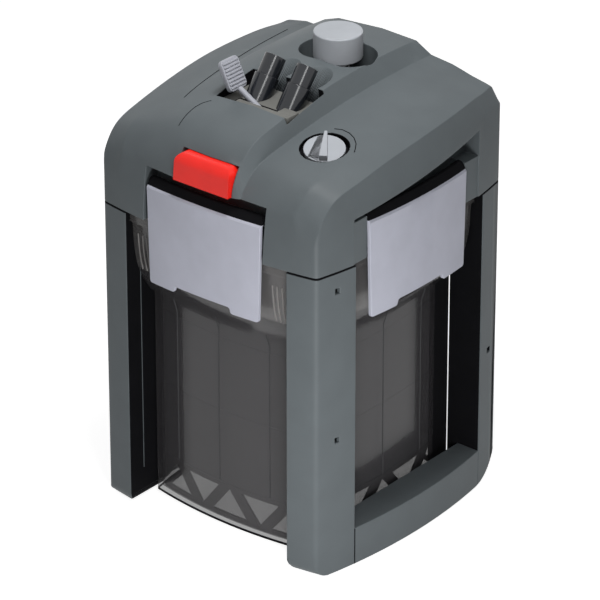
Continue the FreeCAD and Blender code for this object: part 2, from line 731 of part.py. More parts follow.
def intakeDuct(shellOuter):
    floor = size.shellBottom + size.shellWall
    high = size.gridTop + 2 * size.basketTall + 12
    wall = size.ductWall
    block = box("ductBlock", (-size.ductHalfX, size.ductFrontY, floor), (size.ductHalfX, halfDeep, high))
    hollow = box("ductHollow", (-size.ductHalfX + wall, size.ductFrontY + wall, floor - 1),
                 (size.ductHalfX - wall, size.shellHalfY - size.shellWall - wall, high + 1))
    mouth = box("ductMouth", (-size.ductHalfX + 3 * wall, size.ductFrontY - 1, floor - 1),
                (size.ductHalfX - 3 * wall, size.ductFrontY + wall + 1, floor + 14))
    limit = bowedBlock("ductFit", floor, high, size.shellHalfX - size.shellWall,
                       size.shellHalfY - size.shellWall, size.shellBow, size.shellBow)
    node("intake_duct", cut("ductCut", common("ductSolid", block, limit), hollow, mouth))


def basket(name, key, low, tall, ribs):
    wall = size.basketWall
    halfX, halfY = basketHalves()
    bow = size.shellBow
    outer = bowedBlock(key + "Outer", low, low + tall - size.runGap, halfX, halfY, bow, bow)
    hollow = bowedBlock(key + "Hollow", low + wall, low + tall, halfX - wall, halfY - wall, bow, bow)
    duct = ductRoom(key + "DuctRoom", low - 1, low + tall + 1, 1)
    ductWall = box(key + "DuctWall", (-size.ductHalfX - 1 - wall, size.ductFrontY - 1 - wall, low),
                   (size.ductHalfX + 1 + wall, size.shellHalfY - size.shellWall - 4, low + tall - size.runGap))
    slots = []
    for index in range(ribs):
        x = (index - (ribs - 1) / 2) * 13
        slots.append(box(key + "Slot" + str(index), (x - 2.5, -66, low - 1), (x + 2.5, 62, low + wall + 1)))
    shell = cut(key + "Shell", outer, hollow)
    item = cut(key + "Cut", fuse(key + "Body", shell, common(key + "DuctFit", ductWall, outer)), duct, *slots)
    return node(name, item)


def media(name, key, low, tall):
    halfX, halfY = basketHalves(size.basketWall + size.runGap)
    bow = size.shellBow
    block = bowedBlock(key + "Block", low, low + tall, halfX, halfY, bow, bow)
    room = ductRoom(key + "Room", low - 1, low + tall + 1, 1 + size.basketWall + size.runGap)
    return node(name, cut(key + "Cut", block, room))


def basketStack():
    low = size.gridTop + size.runGap
    wall = size.basketWall
    basket("basket_lower", "lowerBasket", low, size.basketTall, 11)
    media("media_rings", "rings", low + wall, size.basketTall - wall - 6)
    upper = low + size.basketTall
    basket("basket_upper", "upperBasket", upper, size.basketTall, 11)
    media("media_sponge", "sponge", upper + wall, size.basketTall - wall - 6)
    tray = upper + size.basketTall
    basket("prefilter_tray", "tray", tray, size.trayTall, 9)
    media("prefilter_pad", "padSheet", tray + wall, size.trayTall - wall - 5)


# Head housing

def planEdgeX(y):
    # The outline's half width at a distance y from the middle.
    corner = number(halfDeep - size.frontBow)
    return number(halfWide) - number(size.sideBow) * min(1, (y / corner) ** 2)


def planEdgeY(x):
    corner = number(halfWide - size.sideBow)
    return number(halfDeep) - number(size.frontBow) * min(1, (x / corner) ** 2)


def archLine(crest, crestY, arch, bend, frontY, x, inset):
    # Height along one line of the head: a long arch, a tight front bend and a rounded rear edge.
    top = number(crest) - inset
    radius = number(bend)
    rear = number(size.rearBend)
    rearY = planEdgeY(x)
    slope = 9

    def height(y):
        level = top - (y - number(crestY)) ** 2 / (2 * number(arch))
        fromFront = y - (frontY + inset)
        if fromFront < 0:
            level -= radius - fromFront * slope
        elif fromFront < radius:
            level -= radius - math.sqrt(radius ** 2 - (radius - fromFront) ** 2)
        fromRear = rearY - inset - y
        if fromRear < 0:
            level -= rear - fromRear * slope
        elif fromRear < rear:
            level -= rear - math.sqrt(rear ** 2 - (rear - fromRear) ** 2)
        return level

    return height


def headLines(inset):
    spineX = number(size.spineFrontHalf)
    lean = number(size.leanFront)
    deck = archLine(size.deckCrest, size.deckCrestY, size.deckArch, size.deckBend,
                    lean - planEdgeY(spineX), spineX, inset)
    foot = archLine(size.footCrest, size.footCrestY, size.footArch, size.footBend,
                    lean - planEdgeY(spineX), spineX, inset)
    stripX = planEdgeX(110) - number(size.stripWide)
    strip = archLine(size.stripCrest, size.stripCrestY, size.stripArch, size.stripBend,
                     1 - planEdgeY(stripX), stripX, inset)
    ridge = archLine(size.ridgeCrest, size.ridgeCrestY, size.ridgeArch, size.ridgeBend,
                     0.2 - number(halfDeep - size.frontBow), 120, inset)
    return deck, foot, strip, ridge


def headSection(y, inset, lines):
    # One cross-section of the head, from its left foot over the top to its right foot.
    deck, foot, strip, ridge = lines
    along = min(1, max(0, (y + number(halfDeep)) / number(size.planDepth)))
    grown = min(1, max(0, (y + 112) / 112))
    edge = planEdgeX(y) + 2
    ridgeX = planEdgeX(y) - number(size.ridgeInset) * min(1, max(0, (y + 112) / 80)) - inset
    stripX = planEdgeX(y) - number(size.stripWide) - number(size.stripGrow) * grown - inset * 0.5
    spineFront = number(size.spineFrontHalf)
    spineX = spineFront + (number(size.spineRearHalf) - spineFront) * along - inset
    flank = number(size.flankFront) + (number(size.flankRear) - number(size.flankFront)) * along
    footX = spineX + flank
    floor = 100
    ridgeZ, stripZ, footZ, deckZ = ridge(y), strip(y), foot(y), deck(y)
    footZ = min(footZ, deckZ)
    lip = min(sideLip(y) - inset, ridgeZ - 1)
    leftX = spineX + flank
    leftZ = deckZ - number(size.leftDrop) * along
    step = min(1, max(0, (y + number(size.leftStepY)) / 150))
    browX, heelX = number(size.leftBrowX), number(size.leftHeelX)

    def slope(x):
        return leftZ + (stripZ - leftZ) * (x - leftX) / (stripX - leftX)

    left = [(-edge, floor), (-edge, lip), (-ridgeX, ridgeZ), (-stripX, stripZ),
            (-heelX, slope(heelX) - number(size.leftStep) * step), (-browX, slope(browX)), (-leftX, leftZ)]
    right = [(0, deckZ + 1.2), (spineX, deckZ), (footX, footZ), (footX + 20, footZ + (stripZ - footZ) * 0.42 + 0.8),
             (stripX, stripZ), (ridgeX, ridgeZ), (edge, lip), (edge, floor)]
    return Part.makePolygon([Vector(x, y, z) for x, z in left + right + left[:1]])


def sideLip(y):
    start = number(size.sideLipFront)
    rise = number(size.sideLipRear) - start
    half = number(size.sidePocketY)
    return start + rise * (y + half) / (2 * half)


def headLoft(name, inset):
    lines = headLines(inset)
    front = number(halfDeep)
    stations = [-front - 0.5, -120, -118, -116, -114, -112, -109, -105, -100, -94, -86, -70, -45, -15, 20, 55, 85,
                100, 108, 112, 115, 117.5, 119.5, 121, 122, front + 0.5]
    return loftFeature(name, [headSection(y, inset, lines) for y in stations])


def rearSlope(key, inset):
    # All that lies above the leaning upper half of the rear face.
    top = size.headTop + PLENTY
    run = (halfDeep - size.rearEdgeY) / (size.headTop - size.rearSlopeZ)
    foot = halfDeep - inset
    points = ((foot, size.rearSlopeZ), (foot + PLENTY, size.rearSlopeZ), (foot + PLENTY, top),
              (foot - (top - size.rearSlopeZ) * run, top))
    return profileX(key, points, -halfWide - PLENTY, halfWide + PLENTY)


def headOuter():
    plan = planBlock("headPlan", size.seamHeight + size.runGap, size.headTop, 0, size.cornerRound)
    return cut("headOuter", common("headTall", headLoft("headForm", 0), plan), rearSlope("rearWedge", 0))


def frontPocket(key, facing, grow, low):
    # The room of the front or rear clip. facing is -1 at the front and 1 at the rear.
    half = size.pocketHalf + grow
    near = size.pocketDeepY - grow
    far = halfDeep + PLENTY
    lowY, highY = (-far, -near) if facing < 0 else (near, far)
    return box(key, (-half, lowY, low), (half, highY, size.pocketTop + grow))


def sidePocket(key, facing, grow, low):
    half = size.sidePocketY + grow
    points = ((-half, low), (half, low), (half, size.sideLipRear + grow), (-half, size.sideLipFront + grow))
    near = size.sidePocketX - grow
    far = halfWide + PLENTY
    return profileX(key, points, -far if facing < 0 else near, -near if facing < 0 else far)


def releaseNest(key, grow):
    half = size.releaseHalf + size.runGap + grow
    return box(key, (-half, -halfDeep - PLENTY, size.pocketTop - 1 - grow),
               (half, -size.releaseBackY + grow, size.releaseLow + size.releaseTall + size.runGap + grow))


def adapterWell(key, grow):
    return box(key, (-size.wellLeft - grow, -size.wellFrontY - grow, size.wellFloor - grow),
               (size.wellRight + grow, -size.wellRearY + grow, size.headTop + PLENTY))


def scoop(key, x, grow):
    return rod(key, (x, -size.scoopStartY, size.scoopStartZ), size.scoopRadius + grow, size.scoopLength,
               (1, 0, 0), -size.scoopTilt)


def ovalWell(key, grow, low):
    radius = size.primeHole + grow
    ends = [rod(key + str(side), (side * size.primeHoleHalf, size.primeY, low), radius, size.headTop + PLENTY - low)
            for side in (-1, 1)]
    middle = box(key + "Middle", (-size.primeHoleHalf, size.primeY - radius, low),
                 (size.primeHoleHalf, size.primeY + radius, size.headTop + PLENTY))
    return fuse(key, *ends, middle)


def tilted(name, radius, below, above, item="Part::Cylinder"):
    # A round bar on the dial's tilted axis, from below to above the dial's face.
    turn = FreeCAD.Rotation(Vector(0.83, 0.556, 0), number(size.dialTilt))
    bar = doc.addObject(item, name)
    bind(bar, "Radius", radius)
    bind(bar, "Height", below + above)
    start = turn.multVec(Vector(0, 0, -1))
    return place(bar, size.dialX + start.x * below, -size.dialY + start.y * below, size.dialZ + start.z * below,
                 (0.83, 0.556, 0), size.dialTilt)


def headHousing():
    outer = headOuter()
    wall = size.headWall
    roomPlan = planBlock("headRoomPlan", size.seamHeight - 1, size.headTop, wall)
    tallRoom = common("headTallRoom", headLoft("headRoomForm", number(wall)), roomPlan)
    room = cut("headRoom", tallRoom, rearSlope("roomWedge", wall * 1.1))
    skin = cut("headSkin", outer, room)
    grow = size.pocketWall
    liners = [frontPocket("frontLiner", -1, grow, size.seamHeight), frontPocket("rearLiner", 1, grow, size.seamHeight),
              sidePocket("leftLiner", -1, grow, size.seamHeight), sidePocket("rightLiner", 1, grow, size.seamHeight),
              releaseNest("releaseLiner", size.wellWall), adapterWell("wellLiner", size.wellWall),
              scoop("leftScoopLiner", -size.stubLeftX, size.wellWall),
              scoop("rightScoopLiner", size.stubRightX, size.wellWall),
              ovalWell("ovalLiner", size.wellWall, size.primeFloor - size.wellWall),
              tilted("dialLiner", size.dialWell + size.wellWall, size.dialDeep + size.wellWall, 2)]
    lined = common("headLiners", outer, fuse("headLinerTools", *liners))
    full = fuse("headFull", skin, lined)
    low = size.seamHeight - 3
    pockets = [frontPocket("frontPocket", -1, 0, low), frontPocket("rearPocket", 1, 0, low),
               sidePocket("leftPocket", -1, 0, low), sidePocket("rightPocket", 1, 0, low)]
    wells = [releaseNest("releaseNest", 0), adapterWell("adapterWell", 0),
             scoop("leftScoop", -size.stubLeftX, 0), scoop("rightScoop", size.stubRightX, 0),
             ovalWell("ovalWell", 0, size.primeFloor), tilted("dialWell", size.dialWell, size.dialDeep, PLENTY)]
    holes = [rod("leftPortHole", (-size.stubLeftX, -size.portY, size.wellFloor - 9), size.portRadius + 0.4, 12),
             rod("rightPortHole", (size.stubRightX, -size.portY, size.wellFloor - 9), size.portRadius + 0.4, 12),
             rod("rodHole", (0, size.primeY, size.primeFloor - 9), size.rodRadius + size.runGap, 12),
             rodY("glandHole", (-size.glandX, size.planDepth / 2 - 20, size.glandZ), size.glandRadius, 30),
             tilted("dialStemHole", 3.3, size.dialDeep + 8, 0)]
    opened = cutInTurn("headOpened", full, *pockets, *wells, *holes)
    bossed = fuse("headBossed", opened, *clipBosses(outer))
    node("head_housing", cut("headDrilled", bossed, *pinRods("Hole", 0)))
    return outer


def clipBosses(outer):
    # Blocks in the side pockets that carry the ends of the side clips' hinge pins.
    bosses = []
    for side, sideName in ((-1, "Left"), (1, "Right")):
        for end, endName in ((-1, "Front"), (1, "Rear")):
            near = size.sidePocketX - 1
            far = halfWide - size.pinInset + size.barrelRadius
            inner = size.clipHalfY + size.runGap
            outerY = size.sidePocketY + 1
            lowX, highX = (near, far) if side > 0 else (-far, -near)
            lowY, highY = (inner, outerY) if end > 0 else (-outerY, -inner)
            bosses.append(common("boss" + sideName + endName, outer, box(
                "bossBox" + sideName + endName, (lowX, lowY, size.seamHeight), (highX, highY, size.bossTop))))
    return bosses


def pinRods(key, gap):
    radius = size.pinRadius + gap
    reach = size.pocketHalf + 3
    sideReach = size.clipHalfY + 10
    y = halfDeep - size.pinInset
    x = halfWide - size.pinInset
    return [rodX("frontPin" + key, (-reach, -y, size.pinHeight), radius, 2 * reach),
            rodX("rearPin" + key, (-reach, y, size.pinHeight), radius, 2 * reach),
            rodY("leftPin" + key, (-x, -sideReach, size.pinHeight), radius, 2 * sideReach),
            rodY("rightPin" + key, (x, -sideReach, size.pinHeight), radius, 2 * sideReach)]


# Clips

def clip(name, key, alongX, facing):
    inset = size.clipInset
    bevelLow = size.clipTop - size.clipBevel
    outer = planBlock(key + "Outer", size.clipLow, bevelLow, inset)
    inner = planBlock(key + "Inner", size.clipLow - 1, bevelLow, inset + size.clipPlate)
    flapOuter = planLoft(key + "FlapOuter", bevelLow, size.clipTop, inset, inset + size.clipLean)
    flapInner = planLoft(key + "FlapInner", bevelLow, size.clipTop, inset + size.clipPlate,
                         inset + size.clipPlate + size.clipLean)
    whole = fuse(key + "Whole", outer, flapOuter)
    shell = cut(key + "Shell", whole, inner, flapInner)
    half = size.clipHalfX if alongX else size.clipHalfY
    reach = (halfDeep if alongX else halfWide)
    near = reach - 30
    far = reach + PLENTY

    def block(label, width, start, end, low, high):
        lowSide, highSide = (start, end) if facing > 0 else (-end, -start)
        if alongX:
            return box(key + label, (-width, lowSide, low), (width, highSide, high))
        return box(key + label, (lowSide, -width, low), (highSide, width, high))

    plate = common(key + "Plate", shell, clipFace(key + "Face", half, alongX, facing, near, far))
    pin = reach - size.pinInset
    web = common(key + "Web", whole, block("WebBar", half - 6, pin, reach - inset - size.clipPlate + 0.6,
                                           size.pinHeight - 2, size.pinHeight + 4))
    barrelLow = -half + 6
    if alongX:
        barrel = rodX(key + "Barrel", (barrelLow, facing * pin, size.pinHeight), size.barrelRadius, 2 * half - 12)
        bore = rodX(key + "Bore", (-half - 5, facing * pin, size.pinHeight), size.pinRadius + size.pinGap, 2 * half + 10)
    else:
        barrel = rodY(key + "Barrel", (facing * pin, barrelLow, size.pinHeight), size.barrelRadius, 2 * half - 12)
        bore = rodY(key + "Bore", (facing * pin, -half - 5, size.pinHeight), size.pinRadius + size.pinGap, 2 * half + 10)
    catchOuter = planBlock(key + "CatchOuter", size.catchLow, size.catchLow + size.catchTall, inset + size.clipPlate - 0.5)
    catchInner = planBlock(key + "CatchInner", size.catchLow - 1, size.catchLow + size.catchTall + 1,
                           inset + size.clipPlate + 1.6)
    catchRing = cut(key + "CatchRing", catchOuter, catchInner)
    catch = common(key + "Catch", catchRing, block("CatchWidth", size.catchHalf, near, far, size.catchLow - 2,
                                                   size.catchLow + size.catchTall + 2))
    node(name, cut(key + "Clip", fuse(key + "Body", plate, web, barrel, catch), bore))


def clipFace(name, half, alongX, facing, near, far):
    # A clip's outline seen from the front, with its finger notch, stretched through the clip.
    low = size.clipLow
    high = low + size.clipNotchTall
    notch = size.clipNotchHalf
    foot = half - size.clipTaper
    points = ((-half, size.clipTop), (-foot, low), (-notch - 1.2, low), (-notch, high), (notch, high),
              (notch + 1.2, low), (foot, low), (half, size.clipTop))
    lowSide, highSide = (near, far) if facing > 0 else (-far, -near)
    body = (profileY if alongX else profileX)(name, points, lowSide, highSide)

    def isCorner(edge):
        first, last = edge.Vertexes[0].Point, edge.Vertexes[-1].Point
        return abs(first.z - last.z) < 0.01 and abs((first.y - last.y) if alongX else (first.x - last.x)) > 1

    roundEdges(body, body.Tip, name + "Corners", size.clipRound, isCorner)
    return body


# Head base, pump and electrics

def headBase():
    wall = size.panWall
    flangeLow = size.seamHeight + size.runGap
    pan = shellBlock("panLower", size.panBottom, size.bandLow, size.panOut, None)
    band = shellBlock("panBand", size.bandLow, flangeLow, size.bandOut, None)
    flange = planBlock("panFlange", flangeLow, flangeLow + size.flangeTall, size.headWall)
    solid = fuse("panSolid", pan, band, flange)
    hollowLow = shellBlock("panHollow", size.panBottom + wall, size.bandLow + wall, size.panOut - wall, None)
    hollowHigh = shellBlock("bandHollow", size.bandLow + wall, size.headTop, size.bandOut - wall - size.sealDeep, None)
    seatOuter = shellBlock("sealSeatOuter", size.sealLow, size.sealLow + size.sealTall, size.bandOut + 5, None)
    seatInner = shellBlock("sealSeatInner", size.sealLow - 1, size.sealLow + size.sealTall + 1,
                           size.bandOut - size.sealDeep, None)
    seat = cut("sealSeatRing", seatOuter, seatInner)
    pockets = [frontPocket("panFrontPocket", -1, size.pocketWall, flangeLow - 1),
               frontPocket("panRearPocket", 1, size.pocketWall, flangeLow - 1),
               sidePocket("panLeftPocket", -1, size.pocketWall, flangeLow - 1),
               sidePocket("panRightPocket", 1, size.pocketWall, flangeLow - 1)]
    shell = cut("panShell", solid, hollowLow, hollowHigh, seat, *pockets)
    chamberLow = size.panBottom
    chamberTall = size.impellerTall + 4
    chamber = rod("pumpChamber", (0, size.motorY, chamberLow), size.chamberRadius + 3, chamberTall + 4)
    can = rod("rotorCan", (0, size.motorY, chamberLow), size.rotorRadius + 0.6 + size.canWall, size.canTop - chamberLow)
    sockets = [rod("socket" + key, (x, -size.portY, size.panBottom + 1), size.portRadius + 0.4 + size.portWall,
                   size.wellFloor - size.wellWall - size.panBottom - 1)
               for key, x in (("Left", -size.stubLeftX), ("Right", size.stubRightX))]
    standoffs = [box("standoff" + str(index), (x, y, size.panBottom + 1), (x + 5, y + 5, size.canTop + 10))
                 for index, (x, y) in enumerate(((-78, -34), (-50, -34), (-78, 29), (-50, 29)))]
    body = fuse("panBody", shell, chamber, can, *sockets, *standoffs)
    chamberRoom = rod("chamberRoom", (0, size.motorY, chamberLow - 1), size.chamberRadius, chamberTall + 1)
    canRoom = rod("canRoom", (0, size.motorY, chamberLow - 1), size.rotorRadius + 0.6,
                  size.canTop - chamberLow - size.canWall + 1)
    bores = [rod("socketBore" + key, (x, -size.portY, size.panBottom - 1), size.portRadius + 0.4,
                 size.wellFloor - size.panBottom + 2)
             for key, x in (("Left", -size.stubLeftX), ("Right", size.stubRightX))]
    node("head_base", cut("headBase", body, chamberRoom, canRoom, *bores))


def headSeal():
    outer = shellBlock("sealOuter", size.sealLow, size.sealLow + size.sealTall, size.bandOut + 0.1, None)
    inner = shellBlock("sealInner", size.sealLow - 1, size.sealLow + size.sealTall + 1, size.bandOut - size.sealDeep, None)
    node("head_seal", cut("headSeal", outer, inner))


def pump():
    low = size.panBottom
    y = size.motorY
    coverThick = 2.5
    cover = rod("coverDisc", (0, y, low - coverThick), size.chamberRadius + 3, coverThick)
    inlet = [rod("coverInlet" + str(i), (12 * math.cos(i * math.pi / 3), y + 12 * math.sin(i * math.pi / 3), low - 5),
                 3.2, 10) for i in range(6)]
    node("impeller_cover", cut("impellerCover", cover, *inlet))
    shaftTop = size.canTop - size.canWall
    node("rotor_shaft", rod("rotorShaft", (0, y, low), size.shaftRadius, shaftTop - low))
    lowBush = cut("lowBush", rod("lowBushBody", (0, y, low), 3.4, 1.6), rod("lowBushBore", (0, y, low - 1), size.shaftRadius, 4))
    highBush = cut("highBush", rod("highBushBody", (0, y, shaftTop - 3), 6, 3),
                   rod("highBushBore", (0, y, shaftTop - 4), size.shaftRadius, 5))
    node("shaft_bushes", fuse("shaftBushes", lowBush, highBush))
    start = low + 2
    clear = size.shaftRadius + size.pinGap
    disc = rod("impellerDisc", (0, y, start + size.impellerTall - 2), size.impellerRadius, 2)
    hub = rod("impellerHub", (0, y, start), 4.5, size.impellerTall)
    vanes = []
    for index in range(6):
        vane = box("vane" + str(index), (3.5 - 0, -0.9, start), (size.impellerRadius - 0.4, 0.9, start + size.impellerTall - 1))
        vane.Placement = FreeCAD.Placement(Vector(0, 0, 0), FreeCAD.Rotation(Vector(0, 0, 1), 60 * index))
        turn = FreeCAD.Rotation(Vector(0, 0, 1), 60 * index)
        corner = turn.multVec(Vector(3.5, -0.9, 0))
        bind(vane, "Placement.Rotation.Angle", 60 * index)
        bind(vane, "Placement.Base.x", corner.x)
        bind(vane, "Placement.Base.y", y + corner.y)
        bind(vane, "Placement.Base.z", start)
        vanes.append(vane)
    bore = rod("impellerBore", (0, y, start - 1), clear, size.impellerTall + 2)
    node("impeller", cut("impellerCut", fuse("impellerBody", disc, hub, *vanes), bore))
    magnetLow = start + size.impellerTall
    magnet = rod("magnet", (0, y, magnetLow), size.rotorRadius, shaftTop - 4 - magnetLow)
    node("magnet_rotor", cut("magnetCut", magnet, rod("magnetBore", (0, y, magnetLow - 1), clear, shaftTop - magnetLow)))
    coreLow = size.canTop - size.coreTall - 4
    canOuter = size.rotorRadius + 0.6 + size.canWall
    core = box("coreBlock", (-size.coreHalfX, y - size.coreHalfY, coreLow),
               (size.coreHalfX, y + size.coreHalfY, coreLow + size.coreTall))
    window = [box("coreWindow" + str(side), (side * 21 - 5, y - size.coreHalfY + 9, coreLow - 1),
                  (side * 21 + 5, y + size.coreHalfY - 9, coreLow + size.coreTall + 1)) for side in (-1, 1)]
    node("stator_core", cut("statorCore", core, rod("coreBore", (0, y, coreLow - 1), canOuter, size.coreTall + 2), *window))
    coils = []
    for side, key in ((-1, "Left"), (1, "Right")):
        ring = box("coil" + key, (side * 27 - 9 * (side < 0) - 3 * (side > 0) + 0, y - 14, coreLow - 5),
                   (side * 27 + 9 * (side > 0) + 3 * (side < 0), y + 14, coreLow + size.coreTall + 5))
        leg = box("coilLeg" + key, (side * 28 - 2.01, y - size.coreHalfY - 1, coreLow),
                  (side * 28 + 2.01, y + size.coreHalfY + 1, coreLow + size.coreTall))
        coils.append(cut("coilCut" + key, ring, leg))
    stackSeat = fuse("coilPair", *coils)
    node("stator_coils", cut("statorCoils", stackSeat, core))
    board = box("boardBlock", (-80, -36, size.canTop + 10), (-43, 36, size.canTop + 11.6))
    parts = [box("boardCapacitor", (-76, -12, size.canTop + 11.6), (-60, 6, size.canTop + 24)),
             rod("boardCan", (-54, 14, size.canTop + 11.6), 5, 14)]
    node("control_board", fuse("controlBoard", board, *parts))


def arcTo(start, corner, end):
    # The arc from start to end whose tangents meet at corner.
    weight = (end - start).Length / (2 * (corner - start).Length)
    top = (start + corner * (2 * weight) + end) * (1 / (2 + 2 * weight))
    return Part.Arc(start, top, end).toShape()


def biarc(start, startWay, end, endWay):
    # Two arcs that leave start along one direction and reach end along the other.
    span = end - start
    along = span.dot(startWay + endWay)
    spread = 2 * (1 - startWay.dot(endWay))
    reach = (math.sqrt(along ** 2 + spread * span.dot(span)) - along) / spread
    middle = (start + end + (startWay - endWay) * reach) * 0.5
    return [arcTo(start, start + startWay * reach, middle), arcTo(middle, end - endWay * reach, end)]


def coil(name, start, direction, coilRadius, length, turns):
    # A helical spring from start along direction, as one closed tube along quarter turns.
    wire = number(size.wireRadius)
    pitch = (length - 2 * wire) / turns
    places = []
    ways = []
    for quarter in range(4 * turns + 1):
        angle = quarter * math.pi / 2
        places.append(Vector(coilRadius * math.cos(angle), coilRadius * math.sin(angle), pitch * quarter / 4))
        ways.append(Vector(-coilRadius * math.sin(angle), coilRadius * math.cos(angle), pitch / math.tau).normalize())
    arcs = []
    for index in range(4 * turns):
        arcs += biarc(places[index], ways[index], places[index + 1], ways[index + 1])
    profile = Part.Wire(Part.makeCircle(wire, places[0], ways[0]))
    shell = Part.Wire(arcs).makePipeShell([profile], True, False)
    print("least gap between the turns of", name, round(pitch * math.cos(math.atan(pitch / (math.tau * coilRadius)))
                                                        - 2 * wire, 2))
    feature = doc.addObject("Part::Feature", name)
    feature.Shape = shell
    base = Vector(*[number(value) for value in start])
    along = Vector(*direction)
    feature.Placement = FreeCAD.Placement(base + along * wire, FreeCAD.Rotation(Vector(0, 0, 1), along))
    return feature


# Controls on the deck

def releaseButton():
    half = size.releaseHalf
    low = size.releaseLow
    top = low + size.releaseTall
    front = -size.releaseFaceY
    back = front + size.releaseDeep
    lean = size.releaseLean
    side = profileX("releaseSide", ((front, low), (back, low), (back, top), (front + lean, top)), -half, half)
    roundEdges(side, side.Tip, "releaseBrowRounding", size.releaseBrow, lambda edge: isBrow(edge, front + lean, top))
    face = profileY("releaseFace", ((-half, low), (half, low), (half, top), (-half, top)), front - 1, back + 1)
    roundEdges(face, face.Tip, "releaseCornerRounding", size.releaseRound, lambda edge: isShoulder(edge, top))
    wall = size.releaseWall
    hollow = box("releaseHollow", (-half + wall, front + wall + lean, low + wall),
                 (half - wall, back + 1, top - size.releaseRound))
    boss = rodY("releaseBoss", (0, front + 1, low + size.releaseTall / 2), 1.5, size.releaseDeep - size.releasePress)
    body = common("releaseBody", side, face)
    node("release_button", fuse("releaseButton", cut("releaseCut", body, hollow), boss))


def isBrow(edge, y, z):
    middle = edge.CenterOfMass
    return abs(middle.y - number(y)) < 0.1 and abs(middle.z - number(z)) < 0.1


def isShoulder(edge, z):
    first, last = edge.Vertexes[0].Point, edge.Vertexes[-1].Point
    return abs(first.y - last.y) > 1 and abs(edge.CenterOfMass.z - number(z)) < 0.1


def adapter():
    gap = size.runGap
    low = size.wellFloor + gap
    block = box("adapterBlock", (-size.wellLeft + gap, -size.wellFrontY + gap, low),
                (size.wellRight - gap, -size.wellRearY - gap, size.adapterTop))
    pipes = []
    bores = []
    stubs = []
    for key, x in (("Left", -size.stubLeftX), ("Right", size.stubRightX)):
        pipes.append(rod("plug" + key, (x, -size.portY, size.portFloor), size.portRadius, size.wellFloor - size.portFloor + 2))
        bores.append(rod("plugBore" + key, (x, -size.portY, size.portFloor - 1), size.stubBore - 0.3,
                         size.adapterTop - 5 - size.portFloor))
        stubs.append(stubRod("stub" + key, x, size.stubRadius, -8, 1.5 + size.collarLength))
        stubs.append(stubRod("spigot" + key, x, size.spigotRadius, 1.5 + size.collarLength, size.stubLength))
        bores.append(stubRod("stubBore" + key, x, size.stubBore, -10, size.stubLength + 1))
    slotLow = size.leverPivotZ - size.leverHub - 2
    slot = box("leverSlot", (-27, -size.leverY - size.slotHalfY, slotLow), (24, -size.leverY + size.slotHalfY, size.adapterTop + 1))
    pivot = rodY("pivotHole", (size.leverPivotX, -size.leverY - 9, size.leverPivotZ), size.leverShaft, 18)
    node("hose_adapter", cut("hoseAdapter", fuse("adapterBody", block, *pipes, *stubs), slot, pivot, *bores))
    node("lever_pin", rodY("leverPin", (size.leverPivotX, -size.leverY - 9, size.leverPivotZ), size.leverShaft, 18))
    collars = []
    for key, x in (("Left", -size.stubLeftX), ("Right", size.stubRightX)):
        ring = stubRod("collar" + key, x, size.collarRadius, -9, 1.5 + size.collarLength)
        hole = stubRod("collarHole" + key, x, size.stubRadius, -11, 4 + size.collarLength)
        collars.append(cut("collarCut" + key, ring, hole, box("collarFloor" + key, (x - 20, -80, size.adapterTop - 30),
                                                            (x + 20, 20, size.adapterTop + 0.01))))
    node("collar_left", collars[0])
    node("collar_right", collars[1])
    rings = []
    for key, x in (("Left", -size.stubLeftX), ("Right", size.stubRightX)):
        ring = doc.addObject("Part::Torus", "plugRing" + key)
        bind(ring, "Radius1", size.portRadius - 0.6)
        bind(ring, "Radius2", 0.9)
        place(ring, x, -size.portY, size.portFloor + 8)
        rings.append(ring)
    node("plug_seals", cut("plugSeals", fuse("plugRings", *rings), *pipes))


def stubRod(name, x, radius, start, end):
    # A round bar on a hose stub's tilted axis, between two distances from the adapter's top face.
    tilt = math.radians(number(size.stubTilt))
    first = start if isinstance(start, Size) else Size(repr(start), start)
    return rod(name, (x, -size.stubFrontY + first * math.sin(tilt), size.adapterTop + first * math.cos(tilt)),
               radius, end - start, (1, 0, 0), -size.stubTilt)


def lever():
    hub = rodY("leverHubRod", (size.leverPivotX, -size.leverY - size.slotHalfY + size.runGap, size.leverPivotZ),
               size.leverHub, 2 * size.slotHalfY - 2 * size.runGap)
    lean = math.radians(number(size.leverStemTilt))
    stem = doc.addObject("Part::Box", "leverStemBar")
    bind(stem, "Length", 5.0)
    bind(stem, "Width", 5.0)
    bind(stem, "Height", size.leverStem)
    place(stem, size.leverPivotX - 2.5 * math.cos(lean), -size.leverY - 2.5, size.leverPivotZ - 2.5 * math.sin(lean),
          (0, 1, 0), -size.leverStemTilt)
    endX = size.leverPivotX - size.leverStem * math.sin(lean)
    endZ = size.leverPivotZ + size.leverStem * math.cos(lean)
    tip = math.radians(number(size.paddleTilt))
    half = size.paddleThick / 2
    paddle = doc.addObject("Part::Box", "leverPaddle")
    bind(paddle, "Length", size.paddleThick)
    bind(paddle, "Width", size.paddleWide)
    bind(paddle, "Height", size.paddleLong)
    place(paddle, endX - half * math.cos(tip) + 1.5 * math.sin(tip), -size.paddleY - size.paddleWide / 2,
          endZ - half * math.sin(tip) - 1.5 * math.cos(tip), (0, 1, 0), -size.paddleTilt)
    bore = rodY("leverBore", (size.leverPivotX, -size.leverY - 10, size.leverPivotZ), size.leverShaft + size.pinGap, 20)
    node("lock_lever", cut("lockLever", fuse("leverBody", hub, stem, paddle), bore))


